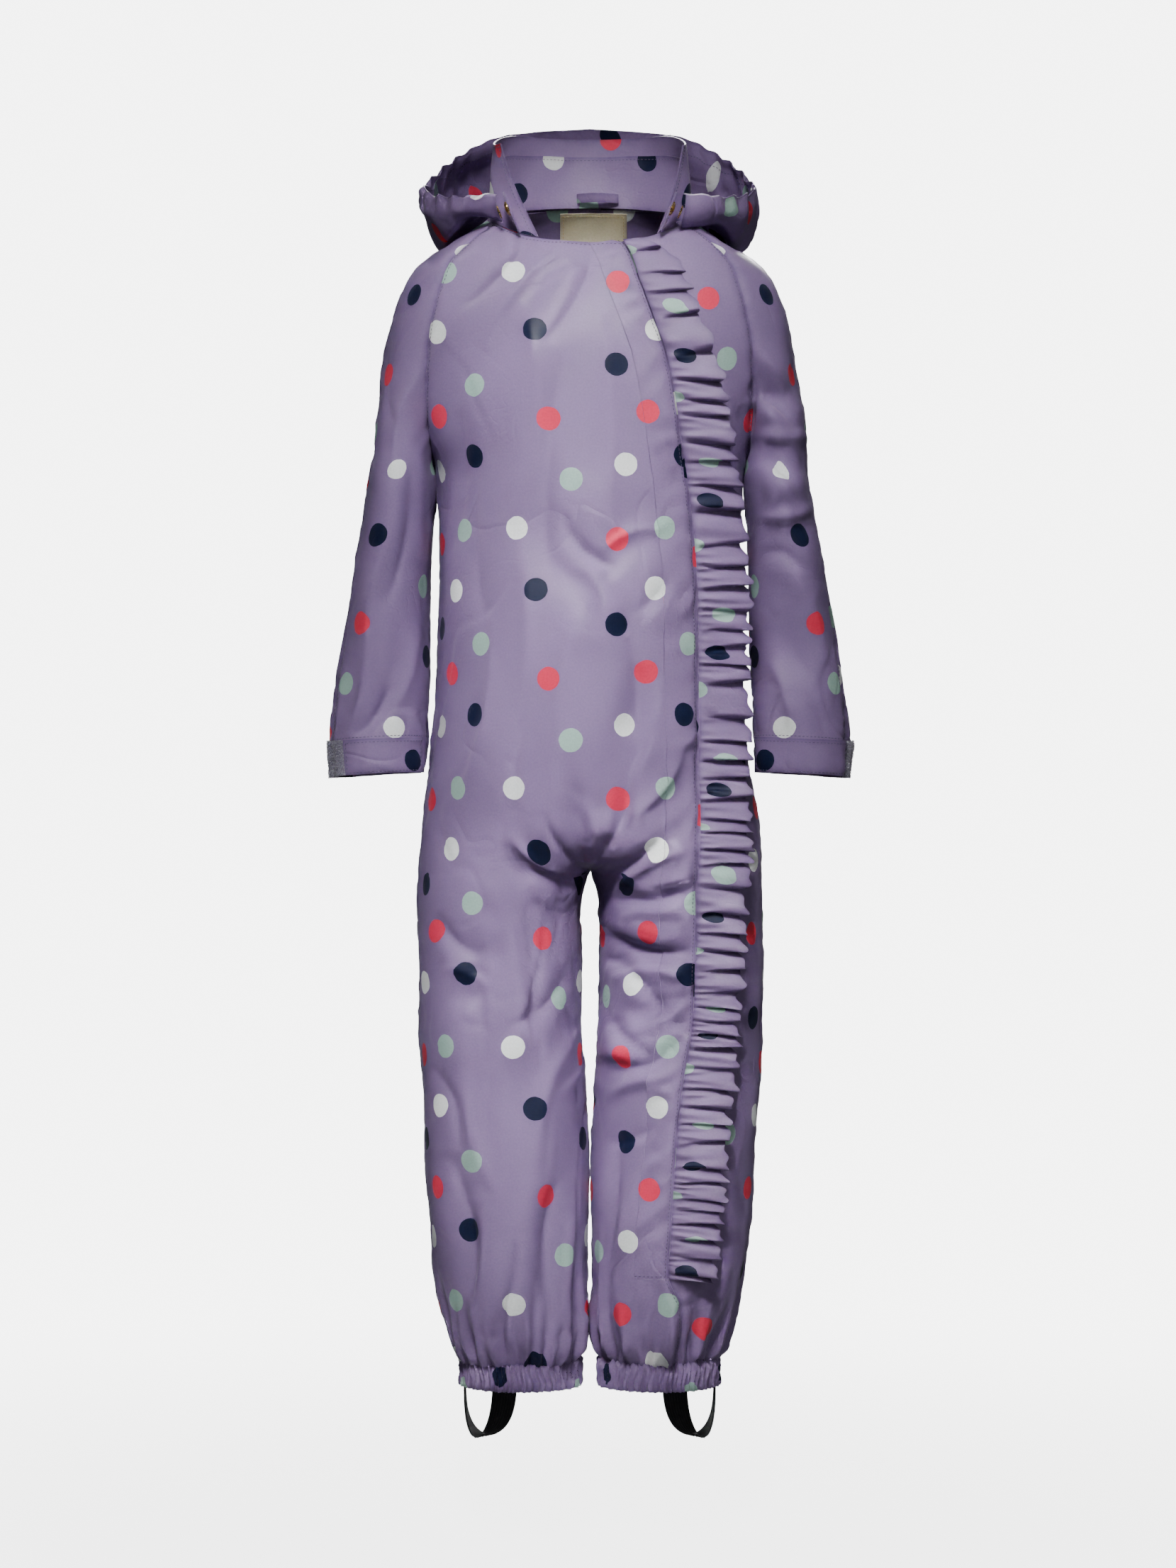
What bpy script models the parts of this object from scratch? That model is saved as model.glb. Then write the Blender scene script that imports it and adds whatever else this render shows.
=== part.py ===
"""A toddler's hooded shell coverall, filled out as worn, with its hollows open.

The tables give the garment's sections in millimetres; the model is in metres, with +Z up,
+X at the wearer's left and the front towards -Y. The origin is the middle of the neck base,
where the wearer's shoulders hold the garment up. Every cloth piece is a wall worked out from
one shared surface, so neighbouring pieces meet at their seams with an even gap.
"""

import math
from collections import namedtuple

import bpy
import numpy as np
from mathutils import Matrix

MM = 0.001

# ---------------------------------------------------------------- driving sizes, in millimetres

CLOTH = 1.5            # wall of the body and sleeve panels
SEAM_GAP = 0.3         # between neighbouring pieces
LAYER_GAP = 0.3        # between a panel and what lies on it
TAB_CLOTH = 1.4
FRILL_CLOTH = 1.0
CASING_CLOTH = 2.2
ELASTIC = 1.4

# Raglan stations from the neck to the underarm: the seam point at the front, how much higher it
# is at the back, the outermost point, the arm's half depth and opening angle, and the middle of
# the front and of the back at the same station.
Raglan = namedtuple("Raglan", "x y z rise out_x out_z half_depth opening front_y front_z back_y back_z")
RAGLAN = [
    Raglan(72, -27, 0, 12, 77, 5, 27, -20, -60, -18, 50, 20),
    Raglan(86, -46, -12, 10, 100, -11, 47, -20, -68, -32, 62, 4),
    Raglan(103, -56, -30, 8, 122, -24, 57, -20, -75, -47, 71, -15),
    Raglan(112, -60, -52, 6, 137, -39, 61, -16, -82, -66, 79, -38),
    Raglan(118, -60, -78, 4, 148, -64, 62, -8, -88, -89, 85, -64),
    Raglan(121, -54, -105, 2, 155, -96, 62, 8, -93, -113, 89, -94),
    Raglan(122, -44, -135, 0, 160, -131, 61, 30, -97, -139, 91, -127),
    Raglan(120, -27, -164, 0, 165, -167, 60, 58, -99, -166, 92, -160),
    Raglan(116, 0, -190, 0, 169, -202, 58, 90, -100, -191, 92, -191),
]

# The body below the underarm: outer and inner half widths, depths to the front and the back, and
# how far the section has parted into two legs, from 0 to 1.
Body = namedtuple("Body", "z outer inner front back parting")
BODY = [
    Body(-190, 116.0, 0.0, 100, 92, 0.0),
    Body(-215, 113.5, 0.0, 102, 90, 0.0),
    Body(-250, 113.5, 0.0, 105, 87, 0.0),
    Body(-300, 115.0, 0.0, 108, 85, 0.0),
    Body(-350, 116.5, 0.0, 110, 88, 0.0),
    Body(-385, 118.5, 0.0, 109, 93, 0.0),
    Body(-415, 122.0, 0.0, 106, 98, 0.0),
    Body(-440, 126.0, 0.0, 102, 98, 0.0),
    Body(-456, 127.8, 0.0, 98, 96, 0.10),
    Body(-470, 128.7, 0.0, 94, 94, 0.34),
    Body(-481, 129.2, 0.0, 90, 91, 0.66),
    Body(-490, 129.5, 0.0, 87, 89, 1.0),
    Body(-500, 130.0, 3.0, 85, 87, 1.0),
    Body(-515, 130.4, 6.0, 82, 84, 1.0),
    Body(-560, 130.5, 7.5, 78, 79, 1.0),
    Body(-600, 130.0, 6.5, 76, 76, 1.0),
    Body(-633, 128.7, 4.2, 74, 75, 1.0),
    Body(-665, 127.0, 2.5, 73, 74, 1.0),
    Body(-700, 125.0, 1.5, 72, 73, 1.0),
    Body(-746, 122.0, 1.5, 70, 71, 1.0),
    Body(-778, 119.0, 1.5, 68, 70, 1.0),
    Body(-800, 115.5, 1.6, 66, 68, 1.0),
    Body(-820, 110.5, 1.9, 63, 65, 1.0),
    Body(-838, 103.5, 3.0, 58, 60, 1.0),
    Body(-850, 98.5, 5.5, 51, 53, 1.0),
    Body(-856, 96.5, 7.5, 47, 48, 1.0),
]

# Sleeve rings below the underarm: their inner and outer points, half depth and middle.
Ring = namedtuple("Ring", "inner_x inner_z outer_x outer_z half_depth middle_y")
SLEEVE = [
    Ring(119.0, -222, 172.0, -228, 56, 0),
    Ring(119.5, -250, 177.5, -254, 53, 1),
    Ring(120.0, -277, 182.0, -280, 50, 1),
    Ring(120.5, -304, 186.5, -306, 47, 0),
    Ring(121.0, -330, 190.5, -332, 44, -2),
    Ring(121.5, -354, 193.5, -356, 41, -5),
    Ring(122.5, -374, 196.0, -376, 38, -8),
    Ring(123.0, -386, 196.5, -389, 36.5, -10),
    Ring(123.5, -400, 196.0, -403, 35.5, -11),
    Ring(124.0, -413, 195.0, -417, 35, -12),
]

# The seam where the frill is sewn, and how wide the frill reaches from it.
Opening = namedtuple("Opening", "z seam_x reach")
OPENING = [
    Opening(-14, 22.6, 12),
    Opening(-28, 30.5, 31),
    Opening(-46, 36.3, 34),
    Opening(-76, 46.8, 34),
    Opening(-102, 55.7, 34),
    Opening(-129, 61.4, 36),
    Opening(-168, 67.2, 36.5),
    Opening(-226, 75.0, 35),
    Opening(-281, 78.9, 36),
    Opening(-360, 79.8, 35),
    Opening(-424, 80.8, 35),
    Opening(-507, 78.8, 34),
    Opening(-560, 77.4, 33),
    Opening(-600, 76.2, 32),
    Opening(-636, 70.2, 35),
    Opening(-667, 66.2, 36),
    Opening(-698, 63.6, 36),
    Opening(-764, 59.6, 34),
    Opening(-789, 58.8, 34),
    Opening(-812, 68.0, 34),
    Opening(-856, 66.0, 34),
]
BAND_WIDTH = 25
CENTRE_SHIFT = [-14, -8, -3, 0]      # the middle column leans aside at the neck, clear of the band

# The largest folds: a line from one end to the other, seen from the front or the back, with a
# half width and a height that is negative for a trough.
Fold = namedtuple("Fold", "face x0 z0 x1 z1 half_width height")
FRONT, BACK = -1, 1
FOLDS = [
    Fold(FRONT, -30, -40, -112, -135, 15, -3.5),
    Fold(FRONT, -58, -30, -118, -95, 12, 3.0),
    Fold(FRONT, -10, -60, -100, -175, 20, 3.0),
    Fold(FRONT, -60, -215, 0, -275, 22, -4.5),
    Fold(FRONT, 0, -275, 45, -215, 20, -4.0),
    Fold(FRONT, -12, -318, 24, -290, 15, 3.0),
    Fold(FRONT, 38, -345, 14, -446, 17, -8.0),
    Fold(FRONT, 60, -372, 32, -462, 14, 4.0),
    Fold(FRONT, -22, -405, -6, -470, 12, -3.5),
    Fold(FRONT, -70, -398, -18, -478, 18, 3.5),
    Fold(FRONT, 82, -400, 40, -440, 13, -4.0),
    Fold(FRONT, 110, -420, 60, -492, 17, 3.5),
    Fold(FRONT, -118, -440, -70, -520, 22, -2.5),
    Fold(FRONT, 8, -536, 56, -560, 14, -5.0),
    Fold(FRONT, 30, -592, 74, -600, 12, -5.0),
    Fold(FRONT, 14, -612, 52, -640, 14, 4.0),
    Fold(FRONT, 40, -655, 32, -735, 13, -3.5),
    Fold(FRONT, -98, -540, -70, -556, 12, -3.0),
    Fold(FRONT, -114, -610, -84, -742, 18, 4.0),
    Fold(FRONT, -70, -640, -100, -776, 15, -3.5),
    Fold(FRONT, -40, -700, -60, -810, 12, 3.5),
    Fold(FRONT, -90, -780, -80, -840, 8, -3.5),
    Fold(FRONT, -60, -790, -64, -842, 7, 3.0),
    Fold(FRONT, -32, -775, -44, -842, 8, -3.5),
    Fold(FRONT, 34, -770, 46, -842, 8, -3.5),
    Fold(FRONT, 90, -785, 78, -842, 8, -3.5),
    Fold(FRONT, 124, -120, 150, -142, 9, -4.5),
    Fold(FRONT, 126, -150, 166, -140, 10, 4.5),
    Fold(FRONT, 130, -176, 172, -190, 10, -5.0),
    Fold(FRONT, 132, -205, 164, -192, 10, 4.0),
    Fold(FRONT, 138, -300, 168, -352, 12, -4.0),
    Fold(FRONT, -148, -130, -128, -215, 11, -3.0),
    Fold(FRONT, -165, -200, -172, -330, 12, 3.0),
    Fold(FRONT, -136, -345, -160, -375, 10, -3.0),
    Fold(BACK, 0, -90, 0, -330, 34, -6.0),
    Fold(BACK, -30, -60, -112, -150, 18, -3.5),
    Fold(BACK, 30, -60, 112, -150, 18, -3.5),
    Fold(BACK, -90, -300, 10, -345, 20, -5.0),
    Fold(BACK, 95, -320, -5, -372, 20, 4.0),
    Fold(BACK, -100, -395, -20, -455, 18, 4.0),
    Fold(BACK, 100, -400, 22, -462, 18, -4.0),
    Fold(BACK, -95, -560, -35, -590, 16, -4.5),
    Fold(BACK, 95, -575, 35, -556, 16, -4.5),
    Fold(BACK, -70, -640, -80, -790, 16, 4.0),
    Fold(BACK, 72, -650, 62, -790, 16, 4.0),
    Fold(BACK, 150, -170, 168, -215, 12, -4.0),
    Fold(BACK, -150, -175, -168, -222, 12, -4.0),
]

# The hood's sections round the neck: the direction from the middle of the back in degrees, and the
# distance and height of its neck edge, its low inner side, its bottom, its outer side and its rim.
Hood = namedtuple("Hood", "turn neck_r neck_z inner_r inner_z low_r low_z outer_r outer_z rim_r rim_z")
HOOD = [
    Hood(0, 62, 26, 86, -28, 108, -40, 130, 18, 106, 92),
    Hood(22, 64, 25, 89, -26, 111, -38, 133, 18, 111, 89),
    Hood(40, 69, 23, 95, -18, 116, -32, 136, 16, 119, 82),
    Hood(58, 76, 19, 102, -7, 117, -20, 134, 14, 124, 62),
    Hood(76, 83, 14, 101, -4, 113, -12, 129, 12, 127, 38),
    Hood(92, 84, 9, 98, -1, 109, -8, 122, 8, 121, 26),
    Hood(108, 84, 7, 94, 2, 101, 1, 108, 8, 106, 20),
    Hood(125, 79, -1, 81, 1, 83, 4, 85, 11, 85, 19),
]
HOOD_MIDDLE_Y = 5
HOOD_CLOTH = 1.3
HOOD_SEAM_TURN = 34
HOOD_GATHER = 3.2

# ---------------------------------------------------------------- how finely the walls are made

TRUNK_STEPS = 11
KNEE_STEPS = 11
HEM_STEPS = 4
CROTCH_HEIGHTS = [-456, -470, -481, -490, -500, -515]
BAND_END = -789
BODY_CROTCH = -490
LEFT_COLUMNS = (5, 2, 5)             # side to frill seam, band, band to middle
RIGHT_COLUMNS = 11
BACK_COLUMNS = 6
ARM_FRONT_COLUMNS = 7
ARM_BACK_COLUMNS = 7
OUTER_SEAM_TURNS = (90, 62)          # the outer arm seam's place at the neck and at the cuff

FRILL_WAVES = 52
FRILL_SAMPLES = 5
FRILL_HEIGHT = 10.0
FRILL_LEAN = 1.6
FRILL_TURN_BACK = 0.62               # how far it turns back with the panel under it
FRILL_ROWS = 3
FRILL_LIFT = 0.2                     # beyond the layer gap, at the seam
FRILL_EDGE_LIFT = 2.2                # and at the free edge
FRILL_WAVE_WAY = (0.35, -0.94, 0.0)  # the way the waves stand up
FRILL_INSET = 1.0
CASING_TOP = -856
CASING_BOTTOM = -876
CASING_GATHERS = 28
CASING_DEPTH = 1.7
STIRRUP_WIDTH = 20
STIRRUP_DROP = 42


# ---------------------------------------------------------------- smooth curves through tables

def curve(places, values, place):
    """A smooth curve through the values, level with the end ones beyond them."""
    if place <= places[0]:
        return values[0]
    if place >= places[-1]:
        return values[-1]
    last = len(places) - 1
    cell = max(i for i in range(last) if places[i] <= place)
    width = places[cell + 1] - places[cell]
    step = (place - places[cell]) / width

    def slope(i):
        low, high = max(i - 1, 0), min(i + 1, last)
        return (values[high] - values[low]) / (places[high] - places[low])

    rise = values[cell + 1] - values[cell]
    return (values[cell] + step * width * slope(cell)
            + step ** 2 * (3 * rise - width * (2 * slope(cell) + slope(cell + 1)))
            + step ** 3 * (width * (slope(cell) + slope(cell + 1)) - 2 * rise))


def down(table, column, z):
    """One column of a table that runs downwards, read at a height."""
    return curve([-row.z for row in table], [getattr(row, column) for row in table], -z)


def smoothstep(value):
    value = min(1.0, max(0.0, value))
    return value * value * (3 - 2 * value)


# ---------------------------------------------------------------- the shared surface

class Surface:
    """Points under names, and the cells between them, each in a panel."""

    def __init__(self):
        self.number = {}
        self.points = []
        self.cells = []

    def add(self, name, point):
        if name not in self.number:
            self.number[name] = len(self.points)
            self.points.append(point)
        return self.number[name]

    def grid(self, rows, panel_of, flip=False):
        """Cells between rows of point numbers; panel_of(row, column) names each cell's panel."""
        for i in range(len(rows) - 1):
            for j in range(len(rows[i]) - 1):
                cell = [rows[i][j], rows[i][j + 1], rows[i + 1][j + 1], rows[i + 1][j]]
                cell = cell[::-1] if flip else cell
                self.cells.append((panel_of(i, j), cell))

    def finish(self):
        self.points = np.array(self.points, dtype=float)
        self.normals = self.find_normals()

    def find_normals(self):
        normals = np.zeros_like(self.points)
        for _, (a, b, c, d) in self.cells:
            across = np.cross(self.points[c] - self.points[a], self.points[d] - self.points[b])
            for corner in (a, b, c, d):
                normals[corner] += across
        return normals / np.maximum(np.linalg.norm(normals, axis=1)[:, None], 1e-9)

    def fold(self, folds):
        """Raise ridges and sink troughs along the surface's own normals."""
        normals = self.normals
        moves = np.zeros(len(self.points))
        for line in folds:
            start = np.array([line.x0, line.z0], dtype=float)
            run = np.array([line.x1, line.z1]) - start
            flat = self.points[:, [0, 2]] - start
            place = flat @ run / (run @ run)
            aside = np.abs(flat[:, 0] * run[1] - flat[:, 1] * run[0]) / np.hypot(*run)
            taper = np.sin(np.pi * np.clip(0.08 + 0.84 * place, 0, 1)) ** 0.7
            facing = np.clip(line.face * normals[:, 1], 0, 1) ** 0.5
            moves += line.height * np.exp(-(aside / line.half_width) ** 2) * taper * facing
        self.points = self.points + normals * moves[:, None]
        self.normals = self.find_normals()

    def relax(self, weight, rounds):
        """Ease points towards the middle of their neighbours, by a weight from 0 to 1."""
        near = [set() for _ in self.points]
        for _, cell in self.cells:
            for k in range(4):
                near[cell[k]].update((cell[k - 1], cell[(k + 1) % 4]))
        weights = [weight(point) for point in self.points]
        picked = [i for i, value in enumerate(weights) if value > 0.01]
        for _ in range(rounds):
            middles = {i: np.mean([self.points[n] for n in near[i]], axis=0) for i in picked}
            for i in picked:
                self.points[i] += (middles[i] - self.points[i]) * weights[i]
        self.normals = self.find_normals()


def wall_mesh(surface, panels, thickness, lift=0.0, gap=SEAM_GAP):
    """Corners and triangles of a wall on some of the surface's cells, trimmed by half a gap."""
    cells = [cell for panel, cell in surface.cells if panel in panels]
    used = sorted({corner for cell in cells for corner in cell})
    local = {corner: k for k, corner in enumerate(used)}
    points = surface.points[used]
    normals = surface.normals[used]
    owner = {}
    for cell in cells:
        for k in range(4):
            owner[(cell[k], cell[(k + 1) % 4])] = cell
    rim = [edge for edge in owner if edge[::-1] not in owner]
    inward = {}
    for start, end in rim:
        a, b, c, d = surface.points[owner[(start, end)]]
        face = np.cross(c - a, d - b)
        side = np.cross(face, surface.points[end] - surface.points[start])
        side = side / np.linalg.norm(side)
        inward.setdefault(start, []).append(side)
        inward.setdefault(end, []).append(side)
    trimmed = points.copy()
    for corner, sides in inward.items():
        total = np.sum(sides, axis=0)
        spread = max(1 + float(sides[0] @ sides[-1]), 0.35)
        trimmed[local[corner]] += total * (gap / 2) / spread
    outer = trimmed + normals * (lift + thickness if lift else 0.0)
    inner = outer - normals * thickness
    corners = np.vstack([outer, inner])
    count = len(used)
    triangles = []
    for cell in cells:
        a, b, c, d = (local[corner] for corner in cell)
        first = np.linalg.norm(outer[a] - outer[c]) <= np.linalg.norm(outer[b] - outer[d])
        pair = [(a, b, c), (a, c, d)] if first else [(a, b, d), (b, c, d)]
        for p, q, r in pair:
            triangles.append((p, q, r))
            triangles.append((r + count, q + count, p + count))
    for start, end in rim:
        a, b = local[start], local[end]
        triangles.append((b, a, a + count))
        triangles.append((b, a + count, b + count))
    return corners, triangles


# ---------------------------------------------------------------- objects and materials

Finish = namedtuple("Finish", "colour roughness metallic")
SHELL = Finish((0.26, 0.20, 0.34), 0.55, 0.0)
FUZZ = Finish((0.42, 0.38, 0.50), 0.95, 0.0)
CREAM = Finish((0.74, 0.68, 0.50), 0.70, 0.0)
GOLD = Finish((0.75, 0.52, 0.18), 0.30, 1.0)
BLACK = Finish((0.015, 0.015, 0.018), 0.75, 0.0)


def material(name, finish):
    made = bpy.data.materials.new(name)
    made.use_nodes = True
    shader = made.node_tree.nodes["Principled BSDF"]
    shader.inputs["Base Color"].default_value = (*finish.colour, 1.0)
    shader.inputs["Roughness"].default_value = finish.roughness
    shader.inputs["Metallic"].default_value = finish.metallic
    return made


def place(name, mesh, finish):
    """A named object with its own material, in the garment's collection."""
    made = bpy.data.objects.new(name, mesh)
    mesh.materials.append(material(name, finish))
    bpy.data.collections["snowsuit"].objects.link(made)
    return made


def solid(name, corners, faces, finish):
    mesh = bpy.data.meshes.new(name)
    mesh.from_pydata([tuple(corner * MM) for corner in np.asarray(corners, dtype=float)], [], faces)
    mesh.update()
    mesh.shade_smooth()
    mesh.set_sharp_from_angle(angle=math.radians(50))
    return place(name, mesh, finish)


def strip_wall(rows, normals, thickness, closed=False, inner_rows=None):
    """Corners and triangles of a wall on a grid of points, plain or with its own inner rows."""
    rows = np.asarray(rows, dtype=float)
    height, width = rows.shape[:2]
    outer = rows.reshape(-1, 3)
    if inner_rows is None:
        inner = (rows - np.asarray(normals) * thickness).reshape(-1, 3)
        inner_height = height
    else:
        inner = np.asarray(inner_rows, dtype=float).reshape(-1, 3)
        inner_height = len(inner_rows)
    base = len(outer)
    triangles = []
    steps = width if closed else width - 1

    def quad(a, b, c, d, flip=False):
        for face in ((a, b, c), (a, c, d)):
            triangles.append(face[::-1] if flip else face)

    for i in range(height - 1):
        for j in range(steps):
            k = (j + 1) % width
            quad(i * width + j, i * width + k, (i + 1) * width + k, (i + 1) * width + j)
    for i in range(inner_height - 1):
        for j in range(steps):
            k = (j + 1) % width
            quad(base + i * width + j, base + i * width + k,
                 base + (i + 1) * width + k, base + (i + 1) * width + j, flip=True)
    last, inner_last = (height - 1) * width, base + (inner_height - 1) * width
    for j in range(steps):
        k = (j + 1) % width
        quad(k, j, base + j, base + k)
        quad(last + j, last + k, inner_last + k, inner_last + j)
    if not closed:
        for i in range(height - 1):
            quad(i * width, (i + 1) * width, base + (i + 1) * width, base + i * width)
            quad((i + 1) * width - 1 + width, (i + 1) * width - 1,
                 base + (i + 1) * width - 1, base + (i + 1) * width - 1 + width)
    return np.vstack([outer, inner]), triangles


def grid_normals(rows, closed=False):
    """Outward normals of a grid whose columns and rows turn as the walls' cells do."""
    rows = np.asarray(rows, dtype=float)
    along = np.gradient(rows, axis=0)
    if closed:
        across = np.roll(rows, -1, axis=1) - np.roll(rows, 1, axis=1)
    else:
        across = np.gradient(rows, axis=1)
    normals = np.cross(across, along)
    return normals / np.maximum(np.linalg.norm(normals, axis=2)[..., None], 1e-9)


# ---------------------------------------------------------------- body and sleeves

def body_heights():
    trunk = list(np.linspace(BODY[0].z, CROTCH_HEIGHTS[0] + 16, TRUNK_STEPS + 1))
    knee = list(np.linspace(CROTCH_HEIGHTS[-1], BAND_END, KNEE_STEPS + 1))
    hem = list(np.linspace(BAND_END, BODY[-1].z, HEM_STEPS + 1))
    return trunk + CROTCH_HEIGHTS[:-1] + knee + hem[1:]


class Section:
    """One level of the body: where its surface is at an angle, front or back."""

    def __init__(self, row, heights):
        self.upper = row < len(RAGLAN) - 1
        if self.upper:
            station = RAGLAN[row]
            arm = station.half_depth * math.cos(math.radians(station.opening))
            self.end = {FRONT: (station.x, -station.y, station.z),
                        BACK: (station.x, station.y + 2 * arm, station.z + station.rise)}
            self.depth = {FRONT: -station.front_y, BACK: station.back_y}
            self.z = {FRONT: station.front_z, BACK: station.back_z}
            self.middle = 0.0
            self.half = {}
            self.stop = {}
            for face in (FRONT, BACK):
                x, y, _ = self.end[face]
                rise = min(0.97, y / self.depth[face])
                self.stop[face] = math.asin(rise)
                self.half[face] = x / math.cos(self.stop[face])
            self.parting = 0.0
        else:
            z = heights[row - len(RAGLAN) + 1]
            outer = down(BODY, "outer", z)
            self.parting = down(BODY, "parting", z)
            inner = down(BODY, "inner", z) if self.parting >= 0.999 else 0.0
            half = (outer - inner) / 2 if self.parting >= 0.999 else outer / (1 + self.parting)
            self.middle = outer - half
            self.half = {FRONT: half, BACK: half}
            self.depth = {FRONT: down(BODY, "front", z), BACK: down(BODY, "back", z)}
            self.z = {FRONT: z, BACK: z}
            self.stop = {FRONT: 0.0, BACK: 0.0}

    def angle(self, face, x):
        return math.acos(min(1.0, max(-1.0, (x - self.middle) / self.half[face])))

    def point(self, face, side, angle):
        x = self.middle + self.half[face] * math.cos(angle)
        y = face * self.depth[face] * math.sin(angle)
        z = self.z[face]
        if self.upper:
            start = math.sin(self.stop[face])
            z += (self.end[face][2] - z) * (1 - math.sin(angle)) / (1 - start)
        return np.array([side * x, y, z])


def spread(ends, counts):
    """Places between the ends, a count of equal steps for each stretch."""
    places = [ends[0]]
    for k, count in enumerate(counts):
        places += [ends[k] + (ends[k + 1] - ends[k]) * (n + 1) / count for n in range(count)]
    return places


def front_angles(section, side, row):
    """The angles of the front's columns, from the side seam to the middle."""
    shift = CENTRE_SHIFT[row] if row < len(CENTRE_SHIFT) else 0.0
    middle = math.pi if section.parting >= 0.999 else section.angle(FRONT, side * shift)
    if side < 0:
        return spread([section.stop[FRONT], middle], [RIGHT_COLUMNS])
    z = section.z[FRONT]
    for _ in range(3):
        seam = section.angle(FRONT, down(OPENING, "seam_x", z))
        z = section.point(FRONT, 1, seam)[2]
    band = section.angle(FRONT, down(OPENING, "seam_x", z) - BAND_WIDTH)
    return spread([section.stop[FRONT], seam, band, middle], LEFT_COLUMNS)


def add_body(surface):
    heights = body_heights()
    upper = len(RAGLAN) - 1
    rows = upper + len(heights)
    sections = [Section(row, heights) for row in range(rows)]
    crotch = upper + heights.index(BODY_CROTCH)
    band_end = upper + min(range(len(heights)), key=lambda k: abs(heights[k] - BAND_END))

    def name(face, side, row, column, last):
        if column == last:
            if row == crotch:
                return ("crotch",)
            return ("inseam", side, row) if row > crotch else ("middle", face, row)
        if column == 0:
            return ("raglan", side, face, row) if row < upper else ("side", side, row)
        return (face, side, row, column)

    for side in (1, -1):
        front = []
        back = []
        for row, section in enumerate(sections):
            angles = front_angles(section, side, row)
            last = len(angles) - 1
            front.append([surface.add(name(FRONT, side, row, k, last), section.point(FRONT, side, angle))
                          for k, angle in enumerate(angles)])
            middle = math.pi if section.parting >= 0.999 else section.angle(BACK, 0.0)
            angles = spread([section.stop[BACK], middle], [BACK_COLUMNS])
            last = len(angles) - 1
            back.append([surface.add(name(BACK, side, row, k, last), section.point(BACK, side, angle))
                         for k, angle in enumerate(angles)])

        def front_panel(row, column):
            if side < 0 or column >= LEFT_COLUMNS[0] + LEFT_COLUMNS[1]:
                return "front_main"
            if column < LEFT_COLUMNS[0]:
                return "front_left"
            return "placket_band" if row < band_end else "front_main"

        surface.grid(front, front_panel, flip=side < 0)
        surface.grid(back, lambda row, column: "back", flip=side > 0)
        if side > 0:
            surface.frill_seam = [row[LEFT_COLUMNS[0]] for row in front[:band_end + 1]]
        surface.neck[side] = (front[0], back[0])
        surface.back_rows[side] = back


def add_sleeve(surface, side):
    upper = len(RAGLAN) - 1
    label = "left" if side > 0 else "right"
    rows = []
    columns = ARM_FRONT_COLUMNS + ARM_BACK_COLUMNS
    stations = RAGLAN + SLEEVE
    for row, station in enumerate(stations):
        if row <= upper:
            opening = math.radians(station.opening)
            arm = station.half_depth * math.cos(opening)
            front = np.array([station.x, station.y, station.z], dtype=float)
            back = front + [0, 2 * arm, station.rise]
            half = np.array([0, -station.half_depth, 0.0])
            if abs(math.cos(opening)) > 1e-6:
                half[2] = -station.rise / 2 / math.cos(opening)
            out = np.array([station.out_x, (front[1] + back[1]) / 2, station.out_z])
            reach = (2 * out - front - back) / (2 * (1 + math.sin(opening)))
            centre = out - reach
        else:
            opening = math.pi / 2
            inner = np.array([station.inner_x, station.middle_y, station.inner_z])
            outer = np.array([station.outer_x, station.middle_y, station.outer_z])
            centre = (inner + outer) / 2
            reach = (outer - inner) / 2
            half = np.array([0, -station.half_depth, 0.0])
        share = row / (len(stations) - 1)
        seam = math.radians(OUTER_SEAM_TURNS[0] + (OUTER_SEAM_TURNS[1] - OUTER_SEAM_TURNS[0]) * share)
        turns = spread([-opening, seam, math.pi + opening], [ARM_FRONT_COLUMNS, ARM_BACK_COLUMNS])
        numbers = []
        for column, turn in enumerate(turns):
            point = centre + half * math.cos(turn) + reach * math.sin(turn)
            point[0] *= side
            if column in (0, columns):
                if row < upper:
                    name = ("raglan", side, FRONT if column == 0 else BACK, row)
                elif row == upper:
                    name = ("side", side, row)
                else:
                    name = ("underarm", side, row)
            else:
                name = ("arm", side, row, column)
            numbers.append(surface.add(name, point))
        rows.append(numbers)

    def panel(row, column):
        return f"sleeve_{label}_front" if column < ARM_FRONT_COLUMNS else f"sleeve_{label}_back"

    surface.grid(rows, panel, flip=side > 0)
    surface.arm_rows[side] = rows
    surface.neck_arm[side] = rows[0]


def seat_weight(point):
    """How much a point is eased: most where the body parts into legs, none on the seams' lines."""
    level = math.exp(-((point[2] + 470) / 34) ** 2)
    off_seam = smoothstep((abs(point[1]) - 18) / 30)
    return 0.6 * level * off_seam


def build_surface():
    surface = Surface()
    surface.neck = {}
    surface.back_rows = {}
    surface.neck_arm = {}
    surface.arm_rows = {}
    add_body(surface)
    for side in (1, -1):
        add_sleeve(surface, side)
    surface.finish()
    surface.relax(seat_weight, 4)
    surface.fold(FOLDS)
    return surface


# ---------------------------------------------------------------- cuff tabs and patches

TAB_COLUMNS = {1: (1, 7), -1: (1, 6)}
PATCH_COLUMNS = {1: (7, 10), -1: (6, 10)}
CUFF_ROWS = 2


def add_cuff_layers(surface):
    for side, label in ((1, "left"), (-1, "right")):
        rows = surface.arm_rows[side]
        first = len(rows) - 1 - CUFF_ROWS
        for kind, (start, end), finish in (("cuff_tab", TAB_COLUMNS[side], SHELL),
                                           ("loop_patch", PATCH_COLUMNS[side], FUZZ)):
            layer = Surface()
            layer.points = surface.points
            layer.normals = surface.normals
            picked = [row[start:end + 1] for row in rows[first:]]
            layer.grid(picked, lambda row, column: kind, flip=side > 0)
            corners, triangles = wall_mesh(layer, {kind}, TAB_CLOTH, lift=LAYER_GAP)
            solid(f"{kind}_{label}", corners, triangles, finish)


# ---------------------------------------------------------------- collar, loop and label

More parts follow.
